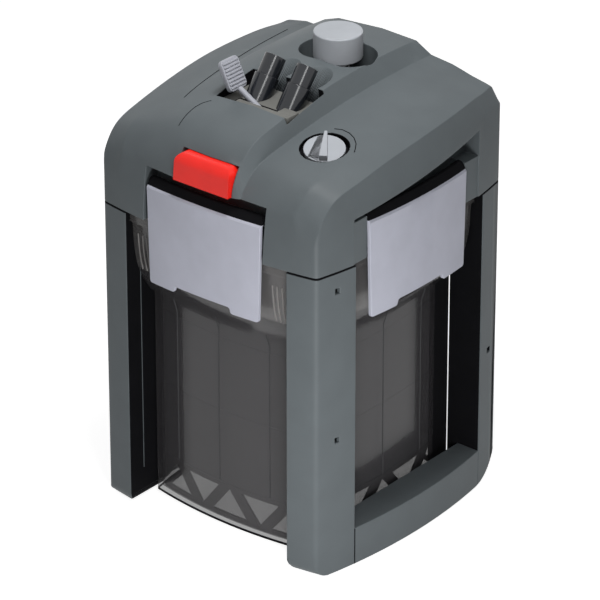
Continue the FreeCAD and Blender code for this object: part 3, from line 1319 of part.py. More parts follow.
def dial():
    disc = tilted("dialDisc", size.dialRadius, size.dialThick, 0)
    stem = tilted("dialStem", 3.0, size.dialDeep + 7, 0)
    turn = FreeCAD.Rotation(Vector(0.83, 0.556, 0), number(size.dialTilt))
    fin = doc.addObject("Part::Wedge", "dialFin")
    reach = size.dialRadius - 1
    bounds = (("Xmin", -size.finThick / 2), ("Xmax", size.finThick / 2), ("X2min", -size.finWide / 2),
              ("X2max", size.finWide / 2), ("Ymin", -reach), ("Ymax", reach), ("Zmin", 0), ("Zmax", size.finTall + 1),
              ("Z2min", 0), ("Z2max", size.finTall + 1))
    for name, value in bounds:
        bind(fin, name, value)
    full = turn.multiply(FreeCAD.Rotation(Vector(0, 0, 1), 215))
    sink = full.multVec(Vector(0, 0, -1))
    fin.Placement = FreeCAD.Placement(Vector(0, 0, 0), full)
    bind(fin, "Placement.Base.x", size.dialX + sink.x)
    bind(fin, "Placement.Base.y", -size.dialY + sink.y)
    bind(fin, "Placement.Base.z", size.dialZ + sink.z)
    node("bypass_dial", fuse("bypassDial", disc, stem, fin))


def priming():
    y = size.primeY
    cap = rod("primeCap", (0, y, size.primeLow), size.primeRadius, size.primeTop - size.primeLow)
    hollow = rod("primeHollow", (0, y, size.primeLow - 1), size.primeRadius - size.primeWall,
                 size.primeTop - size.primeWall - size.primeLow + 1)
    node("priming_button", cut("primingButton", cap, hollow))
    capInside = size.primeTop - size.primeWall
    stem = rod("primeRod", (0, y, size.pistonZ + size.pistonThick), size.rodRadius,
               capInside - size.pistonZ - size.pistonThick)
    node("priming_rod", stem)
    piston = rod("pistonDisc", (0, y, size.pistonZ), size.pistonRadius, size.pistonThick)
    groove = cut("pistonGroove", rod("grooveOuter", (0, y, size.pistonZ + 1.5), size.pistonRadius + 1, 2),
                 rod("grooveInner", (0, y, size.pistonZ + 1), size.pistonRadius - 1.5, 3))
    node("priming_piston", cut("primingPiston", piston, groove))
    ring = cut("pistonRing", rod("ringOuter", (0, y, size.pistonZ + 1.5), size.pistonRadius + 0.1, 2),
               rod("ringInner", (0, y, size.pistonZ + 1), size.pistonRadius - 1.5, 3))
    node("piston_seal", ring)
    low = size.chamberLow
    top = size.primeFloor - size.wellWall
    tube = rod("chamberTube", (0, y, low), size.pistonRadius + 0.4 + size.chamberWall, top - low)
    room = rod("chamberHollow", (0, y, low + size.chamberWall), size.pistonRadius + 0.4, top - low)
    outlet = rod("chamberOutlet", (0, y, low - 1), 3, 5)
    node("priming_chamber", cut("primingChamber", tube, room, outlet))


def gland():
    outerY = planEdgeY(number(size.glandX)) - 0.4
    body = rodY("glandBody", (-size.glandX, outerY - 16, size.glandZ), size.glandRadius, 16)
    nut = rodY("glandNut", (-size.glandX, outerY - 12, size.glandZ), size.glandRadius + 3, 6)
    bore = rodY("glandBore", (-size.glandX, outerY - 20, size.glandZ), size.glandBore, 24)
    node("cable_gland", cut("cableGland", fuse("glandSolid", body, nut), bore))


def springs():
    node("priming_spring", coil("primingSpring", (0, size.primeY, size.primeFloor), (0, 0, 1), 9,
                                number(size.primeTop - size.primeWall - size.primeFloor), 6))
    # The release spring ends clear of the button's whole stroke
    free = size.releaseWall + size.releaseLean + size.releasePress + size.runGap
    node("release_spring", coil("releaseSpring", (0, -size.releaseFaceY + free, size.releaseLow + size.releaseTall / 2),
                                (0, 1, 0), 2.6, number(size.releaseFaceY - free - size.releaseBackY), 5))


shellOuter = canister()
form = frameForm()
posts(form, shellOuter)
rails(form)
footPads()
baseGrid()
intakeDuct(shellOuter)
basketStack()
headHousing()
headBase()
headSeal()
node("clip_pins", fuse("clipPins", *pinRods("", 0)))
clip("clip_front", "clipFront", True, -1)
clip("clip_rear", "clipRear", True, 1)
clip("clip_left", "clipLeft", False, -1)
clip("clip_right", "clipRight", False, 1)
pump()
releaseButton()
adapter()
lever()
dial()
priming()
gland()
springs()
doc.recompute()

faults = [item.Label for item in doc.Objects if {"Invalid", "Error"} & set(item.State)]
for name, item in nodes.items():
    if item.Shape.isNull() or not item.Shape.isValid():
        faults.append(name + " has a bad shape")
if faults:
    raise SystemExit("faults: " + ", ".join(faults))
for name, item in nodes.items():
    item.Shape.exportStep("parts/" + name + ".step")
    bounds = item.Shape.BoundBox
    print(name, len(item.Shape.Solids), "solids", round(item.Shape.Volume / 1000, 1), "cm3",
          [round(v, 1) for v in (bounds.XMin, bounds.XMax, bounds.YMin, bounds.YMax, bounds.ZMin, bounds.ZMax)])
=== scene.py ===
import math
import random

import bmesh
import bpy
from mathutils import Euler, Matrix, Vector, noise


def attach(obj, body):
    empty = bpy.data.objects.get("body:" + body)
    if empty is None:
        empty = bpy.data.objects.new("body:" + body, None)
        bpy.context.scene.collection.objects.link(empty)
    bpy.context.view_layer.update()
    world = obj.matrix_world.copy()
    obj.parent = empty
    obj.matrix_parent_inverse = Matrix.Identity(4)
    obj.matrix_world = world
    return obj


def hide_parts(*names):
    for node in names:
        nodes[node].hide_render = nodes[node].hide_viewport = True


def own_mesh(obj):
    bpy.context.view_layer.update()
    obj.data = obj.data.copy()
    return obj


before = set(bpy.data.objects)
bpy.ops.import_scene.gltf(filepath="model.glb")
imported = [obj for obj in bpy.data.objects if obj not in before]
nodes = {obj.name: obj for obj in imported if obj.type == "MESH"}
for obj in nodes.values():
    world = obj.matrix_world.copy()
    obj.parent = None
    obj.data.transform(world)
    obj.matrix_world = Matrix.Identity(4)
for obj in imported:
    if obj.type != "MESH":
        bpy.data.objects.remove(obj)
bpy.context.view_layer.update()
print("stage: frame loaded")

mm = 0.001
scene = bpy.context.scene
scene.view_settings.view_transform = "Standard"


# Materials: each is one dictionary, colours are linear
finishes = {
    "housing": {"colour": (0.108, 0.124, 0.132), "roughness": 0.50,
                "grain": 0.9, "bump": 0.16, "mottle": 0.04},
    # Near black: the own colour of black parts, seams and joints, and also painted shade on faces
    # in wells, gaps and recesses
    "blackAndPaintedShade": {"colour": (0.005, 0.005, 0.006), "roughness": 0.8, "shine": 0.06,
                    "grain": 0.9, "bump": 0.10, "mottle": 0.12},
    "clip": {"colour": (0.500, 0.510, 0.590), "roughness": 0.46,
             "grain": 0.7, "bump": 0.14, "mottle": 0.04},
    "control": {"colour": (0.400, 0.420, 0.450), "roughness": 0.44,
                "grain": 0.6, "bump": 0.08, "mottle": 0.05},
    "lever": {"colour": (0.350, 0.360, 0.400), "roughness": 0.42,
              "grain": 0.6, "bump": 0.08, "mottle": 0.05},
    "plate": {"colour": (0.150, 0.150, 0.140), "roughness": 0.48,
              "grain": 0.8, "bump": 0.12, "mottle": 0.08},
    "stub": {"colour": (0.014, 0.016, 0.020), "roughness": 0.16, "shine": 0.5,
             "grain": 0.5, "bump": 0.02, "mottle": 0.10},
    "red": {"colour": (0.930, 0.018, 0.010), "roughness": 0.22, "shine": 0.35,
            "grain": 0.5, "bump": 0.02, "mottle": 0.05},
    "basket": {"colour": (0.110, 0.108, 0.110), "roughness": 0.62,
               "grain": 0.8, "bump": 0.02, "mottle": 0.05},
    "rimRib": {"colour": (0.240, 0.230, 0.225), "roughness": 0.40,
               "grain": 0.8, "bump": 0.02, "mottle": 0.05},
    "rib": {"colour": (0.050, 0.050, 0.053), "roughness": 0.50,
            "grain": 0.8, "bump": 0.02, "mottle": 0.05},
    "grid": {"colour": (0.100, 0.098, 0.098), "roughness": 0.50,
             "grain": 0.8, "bump": 0.10, "mottle": 0.12},
    "ceramic": {"colour": (0.520, 0.450, 0.360), "roughness": 0.80,
                "grain": 1.6, "bump": 0.50, "mottle": 0.25},
    "sponge": {"colour": (0.045, 0.050, 0.062), "roughness": 0.95,
               "grain": 2.2, "bump": 0.80, "mottle": 0.35},
    "fleece": {"colour": (0.640, 0.650, 0.640), "roughness": 0.95,
               "grain": 1.2, "bump": 0.60, "mottle": 0.12},
    "rubber": {"colour": (0.018, 0.018, 0.020), "roughness": 0.70,
               "grain": 0.6, "bump": 0.15, "mottle": 0.12},
    "copper": {"colour": (0.560, 0.230, 0.085), "roughness": 0.30, "shine": 0.5, "metallic": 1.0,
               "grain": 0.5, "bump": 0.25, "mottle": 0.12},
    "steel": {"colour": (0.480, 0.480, 0.490), "roughness": 0.28, "shine": 0.5, "metallic": 1.0,
              "grain": 0.5, "bump": 0.04, "mottle": 0.08},
    "iron": {"colour": (0.150, 0.150, 0.155), "roughness": 0.45, "shine": 0.5, "metallic": 1.0,
             "grain": 0.6, "bump": 0.15, "mottle": 0.12},
    "board": {"colour": (0.020, 0.110, 0.045), "roughness": 0.35,
              "grain": 0.6, "bump": 0.06, "mottle": 0.15},
    "magnet": {"colour": (0.035, 0.035, 0.038), "roughness": 0.35,
               "grain": 0.6, "bump": 0.06, "mottle": 0.10},
}
# Common to all of them, where a finish doesn't say otherwise
plasticLook = {
    "fineScale": 1000, "fineDetail": 2.0, "patchScale": 38, "patchDetail": 3.0,
    "patchEnds": (0.32, 0.68), "glossier": 0.05, "duller": 0.07, "bumpDepth": 0.0002,
    "shine": 0.2, "metallic": 0.0,
}
canisterLook = {
    "canister": {"colour": (0.072, 0.069, 0.074), "alpha": 0.42, "roughness": 0.12},
    "canisterRim": {"colour": (0.150, 0.145, 0.145), "alpha": 0.60, "roughness": 0.20},
}
smokeLook = {"patchScale": 14, "patchDetail": 2.0, "mottle": 0.1}


def newMaterial(name):
    material = bpy.data.materials.new(name)
    material.use_nodes = True
    tree = material.node_tree
    shader = tree.nodes["Principled BSDF"]
    place = tree.nodes.new("ShaderNodeTexCoord").outputs["Object"]
    return material, tree, shader, place


def addNoise(tree, place, scale, detail):
    texture = tree.nodes.new("ShaderNodeTexNoise")
    texture.inputs["Scale"].default_value = scale
    texture.inputs["Detail"].default_value = detail
    tree.links.new(place, texture.inputs["Vector"])
    return texture.outputs["Fac"]


def addPatches(tree, shader, broad, colour, shades, ends=(0, 1)):
    # Uneven colour: it runs with the broad noise from the first shade to the second
    ramp = tree.nodes.new("ShaderNodeValToRGB")
    for number in range(2):
        shade = shades[number]
        element = ramp.color_ramp.elements[number]
        element.position = ends[number]
        element.color = (colour[0] * shade, colour[1] * shade, colour[2] * shade, 1)
    tree.links.new(broad, ramp.inputs["Fac"])
    tree.links.new(ramp.outputs["Color"], shader.inputs["Base Color"])


def mouldedPlastic(name, finish):
    # Grained plastic: fine bump, slightly uneven colour and gloss
    look = {**plasticLook, **finish}
    material, tree, shader, place = newMaterial(name)
    fine = addNoise(tree, place, look["fineScale"] / look["grain"], look["fineDetail"])
    broad = addNoise(tree, place, look["patchScale"], look["patchDetail"])
    shades = (1 - look["mottle"], 1 + look["mottle"])
    addPatches(tree, shader, broad, look["colour"], shades, look["patchEnds"])
    gloss = tree.nodes.new("ShaderNodeMapRange")
    gloss.inputs["To Min"].default_value = look["roughness"] - look["glossier"]
    gloss.inputs["To Max"].default_value = look["roughness"] + look["duller"]
    tree.links.new(fine, gloss.inputs["Value"])
    tree.links.new(gloss.outputs["Result"], shader.inputs["Roughness"])
    bump = tree.nodes.new("ShaderNodeBump")
    bump.inputs["Strength"].default_value = look["bump"]
    bump.inputs["Distance"].default_value = look["bumpDepth"]
    tree.links.new(fine, bump.inputs["Height"])
    tree.links.new(bump.outputs["Normal"], shader.inputs["Normal"])
    shader.inputs["Metallic"].default_value = look["metallic"]
    shader.inputs["Specular IOR Level"].default_value = look["shine"]
    return material


def smokedPlastic(name, look):
    # Clear smoke-coloured plastic, thin enough to see the baskets through it
    material, tree, shader, place = newMaterial(name)
    broad = addNoise(tree, place, smokeLook["patchScale"], smokeLook["patchDetail"])
    shades = (1 - smokeLook["mottle"], 1 + smokeLook["mottle"])
    addPatches(tree, shader, broad, look["colour"], shades)
    shader.inputs["Roughness"].default_value = look["roughness"]
    shader.inputs["Alpha"].default_value = look["alpha"]
    return material


materials = {name: mouldedPlastic(name, finish) for name, finish in finishes.items()}
for name, look in canisterLook.items():
    materials[name] = smokedPlastic(name, look)
print("stage: materials made")


# Smoothed and bevelled copies of the CAD solids that show
dressedLooks = {
    "canister_shell": {"material": "canister", "bevel": 0.0, "body": "frame"},
    "post_front_left": {"material": "housing", "bevel": 0.7, "body": "frame"},
    "post_front_right": {"material": "housing", "bevel": 0.7, "body": "frame"},
    "post_rear_left": {"material": "housing", "bevel": 0.7, "body": "frame"},
    "post_rear_right": {"material": "housing", "bevel": 0.7, "body": "frame"},
    "rail_left": {"material": "housing", "bevel": 0.7, "body": "frame"},
    "rail_right": {"material": "housing", "bevel": 0.7, "body": "frame"},
    "base_grid": {"material": "grid", "bevel": 0.0, "body": "frame"},
    "intake_duct": {"material": "basket", "bevel": 0.0, "body": "frame"},
    "basket_lower": {"material": "basket", "bevel": 0.4, "body": "lower_basket"},
    "basket_upper": {"material": "basket", "bevel": 0.4, "body": "upper_basket"},
    "prefilter_tray": {"material": "basket", "bevel": 0.4, "body": "prefilter"},
    "head_housing": {"material": "housing", "bevel": 0.5, "body": "head"},
    "head_base": {"material": "basket", "bevel": 0.4, "body": "head"},
    "clip_front": {"material": "clip", "bevel": 0.7, "body": "clip_front"},
    "clip_rear": {"material": "clip", "bevel": 0.7, "body": "clip_rear"},
    "clip_left": {"material": "clip", "bevel": 0.7, "body": "clip_left"},
    "clip_right": {"material": "clip", "bevel": 0.7, "body": "clip_right"},
    "hose_adapter": {"material": "plate", "bevel": 0.4, "body": "adapter"},
    "bypass_dial": {"material": "control", "bevel": 0.5, "body": "dial"},
    "priming_button": {"material": "control", "bevel": 1.2, "body": "plunger"},
    "release_button": {"material": "red", "bevel": 0.0, "body": "release_button"},
    "collar_left": {"material": "stub", "bevel": 0.4, "body": "adapter"},
    "collar_right": {"material": "stub", "bevel": 0.4, "body": "adapter"},
}
# CAD solids that keep their own mesh
paintedLooks = {
    "foot_pads": "rubber", "head_seal": "rubber", "plug_seals": "rubber",
    "piston_seal": "rubber", "shaft_bushes": "rubber",
    "clip_pins": "steel", "release_spring": "steel", "lever_pin": "steel",
    "rotor_shaft": "ceramic", "magnet_rotor": "magnet", "stator_core": "iron",
    "stator_coils": "copper", "control_board": "board", "cable_gland": "blackAndPaintedShade",
    "impeller_cover": "basket", "impeller": "basket", "priming_chamber": "basket",
    "priming_piston": "basket", "priming_rod": "control",
}
# Distances in mm; an edge stays hard where it is sharper than its degrees
smoothing = {"merge": 0.004, "flat": 0.4, "skin": 32, "spring": 60, "made": 35}
skinBevel = {"angle": 40, "segments": 2}


def smoothMesh(mesh, angle):
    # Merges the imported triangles, joins flat ones and marks the edges that stay hard
    work = bmesh.new()
    work.from_mesh(mesh)
    bmesh.ops.remove_doubles(work, verts=work.verts, dist=smoothing["merge"] * mm)
    bmesh.ops.dissolve_limit(work, angle_limit=math.radians(smoothing["flat"]),
                             verts=work.verts, edges=work.edges)
    for face in work.faces:
        face.smooth = True
    for edge in work.edges:
        edge.smooth = edge.is_manifold and edge.calc_face_angle(0) < math.radians(angle)
    work.to_mesh(mesh)
    work.free()


def applyModifiers(piece):
    bpy.context.view_layer.update()
    shaped = piece.evaluated_get(bpy.context.evaluated_depsgraph_get())
    made = bpy.data.meshes.new_from_object(shaped)
    old = piece.data
    piece.modifiers.clear()
    piece.data = made
    bpy.data.meshes.remove(old)


def bevelEdges(piece, width):
    bevel = piece.modifiers.new("bevel", "BEVEL")
    bevel.width = width * mm
    bevel.segments = skinBevel["segments"]
    bevel.limit_method = "ANGLE"
    bevel.angle_limit = math.radians(skinBevel["angle"])
    bevel.harden_normals = True
    bevel.use_clamp_overlap = False
    applyModifiers(piece)


def paint(mesh, material):
    mesh.materials.clear()
    mesh.materials.append(materials[material])
    for polygon in mesh.polygons:
        polygon.material_index = 0


def dress(node, look):
    mesh = nodes[node].data.copy()
    mesh.name = node + "_skin"
    paint(mesh, look["material"])
    piece = bpy.data.objects.new(node + "_skin", mesh)
    scene.collection.objects.link(piece)
    smoothMesh(mesh, smoothing["skin"])
    if look["bevel"] > 0:
        bevelEdges(piece, look["bevel"])
    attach(piece, look["body"])
    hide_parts(node)
    return piece


dressed = {node: dress(node, look) for node, look in dressedLooks.items()}
for node, name in paintedLooks.items():
    solid = nodes[node]
    solid.data.materials.clear()
    solid.data.materials.append(materials[name])
print("stage: CAD solids dressed")


# Parts of a skin with another finish, or with painted shade: their levels and limits in mm
# Above postTop and clipTop, and below canisterFoot, faces get painted shade
levels = {"postTop": 258.6, "canisterRim": 207, "canisterFoot": 6.2,
          "clipTop": 290.8, "stubs": 345.2}
dialWell = {"middle": Vector((66, -54, 335)), "normal": Vector((0.1345, -0.2008, 0.9703)),
            "radius": 19.2, "bottom": 318}
hoseWell = {"x": (-38.2, 32.2), "y": (-57.4, -2.4), "top": 344}
primingWell = {"middle": 43, "wide": 33, "deep": 21, "z": (330, 357)}
leverSlot = {"middle": -46, "deep": 4.9, "x": (-28, 25), "top": 344.9}
rearCorner = {"x": 72, "y": 62, "z": (9, 207)}
# Post faces that look in at the canister from further out than this get painted shade
postInside = 45  # mm from the middle, for faces that look in at the canister
upright = 0.6  # faces whose normal rises or falls less than this stand upright


def between(value, ends):
    return ends[0] < value < ends[1]


def inDialWell(place):
    away = place - dialWell["middle"]
    away -= dialWell["normal"] * away.dot(dialWell["normal"])
    return away.length < dialWell["radius"] and place.z > dialWell["bottom"]


def inHoseWell(place):
    inside = between(place.x, hoseWell["x"]) and between(place.y, hoseWell["y"])
    return inside and place.z < hoseWell["top"]


def inPrimingWell(place):
    across = place.x / primingWell["wide"]
    along = (place.y - primingWell["middle"]) / primingWell["deep"]
    return across ** 2 + along ** 2 < 1 and between(place.z, primingWell["z"])


# The canister's rear corners, which get painted shade
def inRearCorner(place):
    outside = abs(place.x) > rearCorner["x"] and place.y > rearCorner["y"]
    return outside and between(place.z, rearCorner["z"])


def inHeadWellShade(place, normal):
    return inDialWell(place) or inHoseWell(place) or inPrimingWell(place)


def onPostPaintedShade(place, normal):
    inward = -(normal.x * place.x + normal.y * place.y)
    return place.z > levels["postTop"] or inward > postInside


def onCanisterPaintedShade(place, normal):
    onFoot = place.z < levels["canisterFoot"] and abs(normal.z) < upright
    return onFoot or inRearCorner(place)


def inLeverSlotShade(place, normal):
    inside = abs(place.y - leverSlot["middle"]) < leverSlot["deep"]
    return inside and between(place.x, leverSlot["x"]) and place.z < leverSlot["top"]


def cutAcross(node, height):
    # Cuts the skin level, so that the faces above can have their own finish or painted shade
    work = bmesh.new()
    work.from_mesh(dressed[node].data)
    everything = list(work.verts) + list(work.edges) + list(work.faces)
    bmesh.ops.bisect_plane(work, geom=everything, plane_co=(0, 0, height * mm), plane_no=(0, 0, 1))
    work.to_mesh(dressed[node].data)
    work.free()


def repaint(node, name, chosen):
    # The chosen faces of a skin change their finish or take painted shade; its slot stays
    mesh = dressed[node].data
    if materials[name].name not in mesh.materials:
        mesh.materials.append(materials[name])
    number = mesh.materials.find(materials[name].name)
    for polygon in mesh.polygons:
        if chosen(polygon.center / mm, polygon.normal):
            polygon.material_index = number


# Painted shade: the faces inside the dial, hose and priming wells are painted near black
repaint("head_housing", "blackAndPaintedShade", inHeadWellShade)
# Painted shade: a painted shadow band along the posts' tops under the head, and near black on
# their inner sides beside the canister
for post in ("post_front_left", "post_front_right", "post_rear_left", "post_rear_right"):
    cutAcross(post, levels["postTop"])
    repaint(post, "blackAndPaintedShade", onPostPaintedShade)
cutAcross("canister_shell", levels["canisterRim"])
cutAcross("canister_shell", levels["canisterFoot"])
repaint("canister_shell", "canisterRim", lambda place, normal: place.z > levels["canisterRim"])
# Painted shade: a painted contact-shadow band along the canister's foot, and darker rear corners
repaint("canister_shell", "blackAndPaintedShade", onCanisterPaintedShade)
# Painted shade: the clips' top edges are painted near black as the shade of the pocket they sit in
for clip in ("clip_front", "clip_rear", "clip_left", "clip_right"):
    cutAcross(clip, levels["clipTop"])
    repaint(clip, "blackAndPaintedShade", lambda place, normal: place.z > levels["clipTop"])
repaint("hose_adapter", "stub", lambda place, normal: place.z > levels["stubs"])
# Painted shade: the faces inside the lever's slot are painted near black
repaint("hose_adapter", "blackAndPaintedShade", inLeverSlotShade)
print("stage: wells, gaps and stubs finished")


# Making by hand: a start at its size and place, then shaped in edit mode
onAxis = 0.95  # a direction that is this much along an axis counts as on it


def addBlock(name, size, rounding, place=(0, 0, 0), turn=0, segments=2):
    bpy.ops.object.select_all(action="DESELECT")
    bpy.ops.mesh.primitive_cube_add(size=1)
    block = bpy.context.active_object
    block.name = name
    block.data.transform(Matrix.Diagonal((size[0] * mm, size[1] * mm, size[2] * mm, 1)))
    bpy.ops.object.mode_set(mode="EDIT")
    bpy.ops.mesh.select_all(action="SELECT")
    bpy.ops.mesh.bevel(offset=rounding * mm, segments=segments, affect="EDGES")
    bpy.ops.object.mode_set(mode="OBJECT")
    turned = Euler((0, math.radians(turn), 0)).to_matrix().to_4x4()
    block.data.transform(Matrix.Translation(Vector(place) * mm) @ turned)
    return block


def selectFaces(piece, chosen):
    # Leaves edit mode on with only the chosen faces selected
    bpy.context.view_layer.objects.active = piece
    bpy.ops.object.mode_set(mode="EDIT")
    bpy.ops.mesh.select_mode(type="FACE")
    bpy.ops.mesh.select_all(action="DESELECT")
    bpy.ops.object.mode_set(mode="OBJECT")
    for polygon in piece.data.polygons:
        polygon.select = chosen(polygon)
    bpy.ops.object.mode_set(mode="EDIT")


def addTube(name, outer, bore, long, sides):
    # Both ends are inset and bridged, which opens the bore
    bpy.ops.object.select_all(action="DESELECT")
    bpy.ops.mesh.primitive_cylinder_add(vertices=sides, radius=outer * mm, depth=long * mm)
    tube = bpy.context.active_object
    tube.name = name
    selectFaces(tube, lambda polygon: abs(polygon.normal.z) > onAxis)
    bpy.ops.mesh.inset(thickness=(outer - bore) * mm)
    bpy.ops.mesh.bridge_edge_loops()
    bpy.ops.mesh.select_all(action="SELECT")
    bpy.ops.mesh.normals_make_consistent(inside=False)
    bpy.ops.object.mode_set(mode="OBJECT")
    return tube


def joinPieces(name, pieces):
    bpy.ops.object.select_all(action="DESELECT")
    for piece in pieces:
        piece.select_set(True)
    bpy.context.view_layer.objects.active = pieces[0]
    bpy.ops.object.join()
    pieces[0].name = name
    return pieces[0]


def finishPiece(piece, material, body, slot, *replaced):
    paint(piece.data, material)
    bpy.ops.object.select_all(action="DESELECT")
    piece.select_set(True)
    bpy.context.view_layer.objects.active = piece
    bpy.ops.object.shade_smooth_by_angle(angle=math.radians(smoothing["made"]))
    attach(piece, body)
    if replaced:
        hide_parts(*replaced)


# Lock lever: hub, stem and the ribbed paddle
leverLook = {
    "pivot": (6, -46, 338), "hub": 6.0, "bore": 2.8, "wide": 8.4, "sides": 40,
    "stem": {"size": (4.6, 4.6, 36), "place": (-9.6, -46, 347), "turn": -60,
             "rounding": 1.9, "segments": 4},
    "paddle": {"size": (4, 20, 25), "place": (-30.0, -47, 365.9), "turn": -26, "start": 0.02,
               "merge": 0.05, "corner": 3.6, "cornerSegments": 6,
               "rim": 0.7, "rimSegments": 3, "rimAngle": 60},
    "ribs": 8, "rib": (1.1, 17.6, 1.6), "ribRounding": 0.4, "proud": 0.2, "pitch": 2.75,
}


def roundPlate(plate, look):
    # Merges the block's own rounding away, rounds the four edges that run through the
    # plate's thickness and softens the rims
    work = bmesh.new()
    work.from_mesh(plate.data)
    bmesh.ops.remove_doubles(work, verts=work.verts, dist=look["merge"] * mm)
    through = []
    for edge in work.edges:
        run = (edge.verts[0].co - edge.verts[1].co).normalized()
        if abs(run.x) > onAxis and edge.calc_length() > look["size"][0] * mm / 2:
            through.append(edge)
    bmesh.ops.bevel(work, geom=through, offset=look["corner"] * mm,
                    segments=look["cornerSegments"], affect="EDGES", profile=0.5)
    rims = [edge for edge in work.edges
            if edge.is_manifold and edge.calc_face_angle(0) > math.radians(look["rimAngle"])]
    bmesh.ops.bevel(work, geom=rims, offset=look["rim"] * mm,
                    segments=look["rimSegments"], affect="EDGES", profile=0.5)
    work.to_mesh(plate.data)
    work.free()


def makeLever():
    hub = addTube("lever_hub", leverLook["hub"], leverLook["bore"],
                  leverLook["wide"], leverLook["sides"])
    turned = Euler((math.radians(90), 0, 0)).to_matrix().to_4x4()
    hub.data.transform(Matrix.Translation(Vector(leverLook["pivot"]) * mm) @ turned)
    stem = addBlock("lever_stem", **leverLook["stem"])
    paddle = leverLook["paddle"]
    plate = addBlock("lever_paddle", paddle["size"], paddle["start"], segments=1)
    roundPlate(plate, paddle)
    tilt = Euler((0, math.radians(paddle["turn"]), 0)).to_matrix()
    plate.data.transform(Matrix.Translation(Vector(paddle["place"]) * mm) @ tilt.to_4x4())
    ribs = []
    for number in range(leverLook["ribs"]):
        up = (number - (leverLook["ribs"] - 1) / 2) * leverLook["pitch"]
        shift = tilt @ Vector((paddle["size"][0] / 2 + leverLook["proud"], 0, up))
        ribs.append(addBlock("lever_rib", leverLook["rib"], leverLook["ribRounding"],
                             Vector(paddle["place"]) + shift, paddle["turn"]))
    grip = joinPieces("lever_grip", [plate, stem, hub] + ribs)
    finishPiece(grip, "lever", "lever", "control", "lock_lever")


makeLever()
print("stage: lever made")


# Raised rim of the adapter around the lever's slot
adapterRim = {
    "front": {"size": (51.0, 5.4, 5.2), "place": (5.8, -53.6, 347.2), "rounding": 0.6},
    "right": {"size": (14.0, 9.4, 5.2), "place": (24.3, -46.6, 347.2), "rounding": 0.6},
}


def makeAdapterRim():
    bars = [addBlock("rim_" + name, **look) for name, look in adapterRim.items()]
    finishPiece(joinPieces("adapter_rim", bars), "plate", "adapter", "adapter")


makeAdapterRim()


def makeSpring():
    spring = bpy.data.objects.new("priming_coil", nodes["priming_spring"].data.copy())
    scene.collection.objects.link(spring)
    smoothMesh(spring.data, smoothing["spring"])
    finishPiece(spring, "steel", "head", "steel", "priming_spring")
    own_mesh(spring)


makeSpring()


# Thin dark joints and the edge strips on the frame
trimLooks = {
    "joint_right": {"size": (1.6, 0.7, 31), "place": (112.9, -74, 17), "material": "blackAndPaintedShade"},
    "joint_left": {"size": (1.6, 0.7, 31), "place": (-112.9, -74, 17), "material": "blackAndPaintedShade"},
    "edge_left": {"size": (0.5, 0.8, 205), "place": (-79.9, -100, 132), "material": "housing"},
    "edge_right": {"size": (0.5, 0.8, 205), "place": (79.9, -100, 132), "material": "housing"},
}
trimRounding = 0.2
for name, look in trimLooks.items():
    strip = addBlock(name, look["size"], trimRounding, look["place"])
    finishPiece(strip, look["material"], "frame", "housing")


# Filter media
ringLook = {"outer": 7.5, "bore": 4.2, "long": 14, "sides": 12, "clear": 9.6, "seed": 7,
            "low": (-69.2, -77.2, 50.2), "step": (17.3, 17.1, 17.7), "count": (9, 10, 3)}


def insideBy(node, place, clear):
    found, nearest, normal = nodes[node].closest_point_on_mesh(place)[:3]
    away = place - nearest
    return found and away.dot(normal) < 0 and away.length > clear * mm


def makeRings():
    # One ring, then copies that lie at odd angles in the lower basket
    first = addTube("ring", ringLook["outer"], ringLook["bore"],
                    ringLook["long"], ringLook["sides"])
    chance = random.Random(ringLook["seed"])
    low, step = ringLook["low"], ringLook["step"]
    columns, rows, layers = ringLook["count"]
    spots = [(column, row, layer)
             for layer in range(layers) for row in range(rows) for column in range(columns)]
    rings = []
    for spot in spots:
        place = Vector([(low[k] + step[k] * spot[k]) * mm for k in range(3)])
        turned = Euler([chance.uniform(0, math.pi) for k in range(3)]).to_matrix().to_4x4()
        if insideBy("media_rings", place, ringLook["clear"]):
            ring = bpy.data.objects.new("ring", first.data.copy())
            ring.data.transform(Matrix.Translation(place) @ turned)
            scene.collection.objects.link(ring)
            rings.append(ring)
    bpy.data.objects.remove(first)
    pile = joinPieces("ceramic_rings", rings)
    finishPiece(pile, "ceramic", "lower_basket", "rings", "media_rings")


padLooks = {
    "foam_block": {"node": "media_sponge", "material": "sponge", "body": "upper_basket",
                   "slot": "sponge", "rough": 0.55, "scale": 420, "inward": 0.8, "fill": 1.0},
    "fleece_pad": {"node": "prefilter_pad", "material": "fleece", "body": "prefilter",
                   "slot": "fleece", "rough": 0.70, "scale": 160, "inward": 1.0, "fill": 0.8},
}
softening = {"voxel": 2.6, "factor": 0.6, "times": 6}


def makePad(name, look):
    # A soft block: rounded by remeshing and smoothing, with an uneven open surface
    pad = bpy.data.objects.new(name, nodes[look["node"]].data.copy())
    scene.collection.objects.link(pad)
    smoothMesh(pad.data, smoothing["skin"])
    remesh = pad.modifiers.new("remesh", "REMESH")
    remesh.mode = "VOXEL"
    remesh.voxel_size = softening["voxel"] * mm
    soften = pad.modifiers.new("soften", "SMOOTH")
    soften.factor = softening["factor"]
    soften.iterations = softening["times"]
    applyModifiers(pad)
    for vertex in pad.data.vertices:
        swell = noise.noise(vertex.co * look["scale"]) * look["rough"] - look["inward"]
        vertex.co += vertex.normal * (swell * mm)
    finishPiece(pad, look["material"], look["body"], look["slot"], look["node"])


makeRings()
for name, look in padLooks.items():
    makePad(name, look)
print("stage: filter media made")


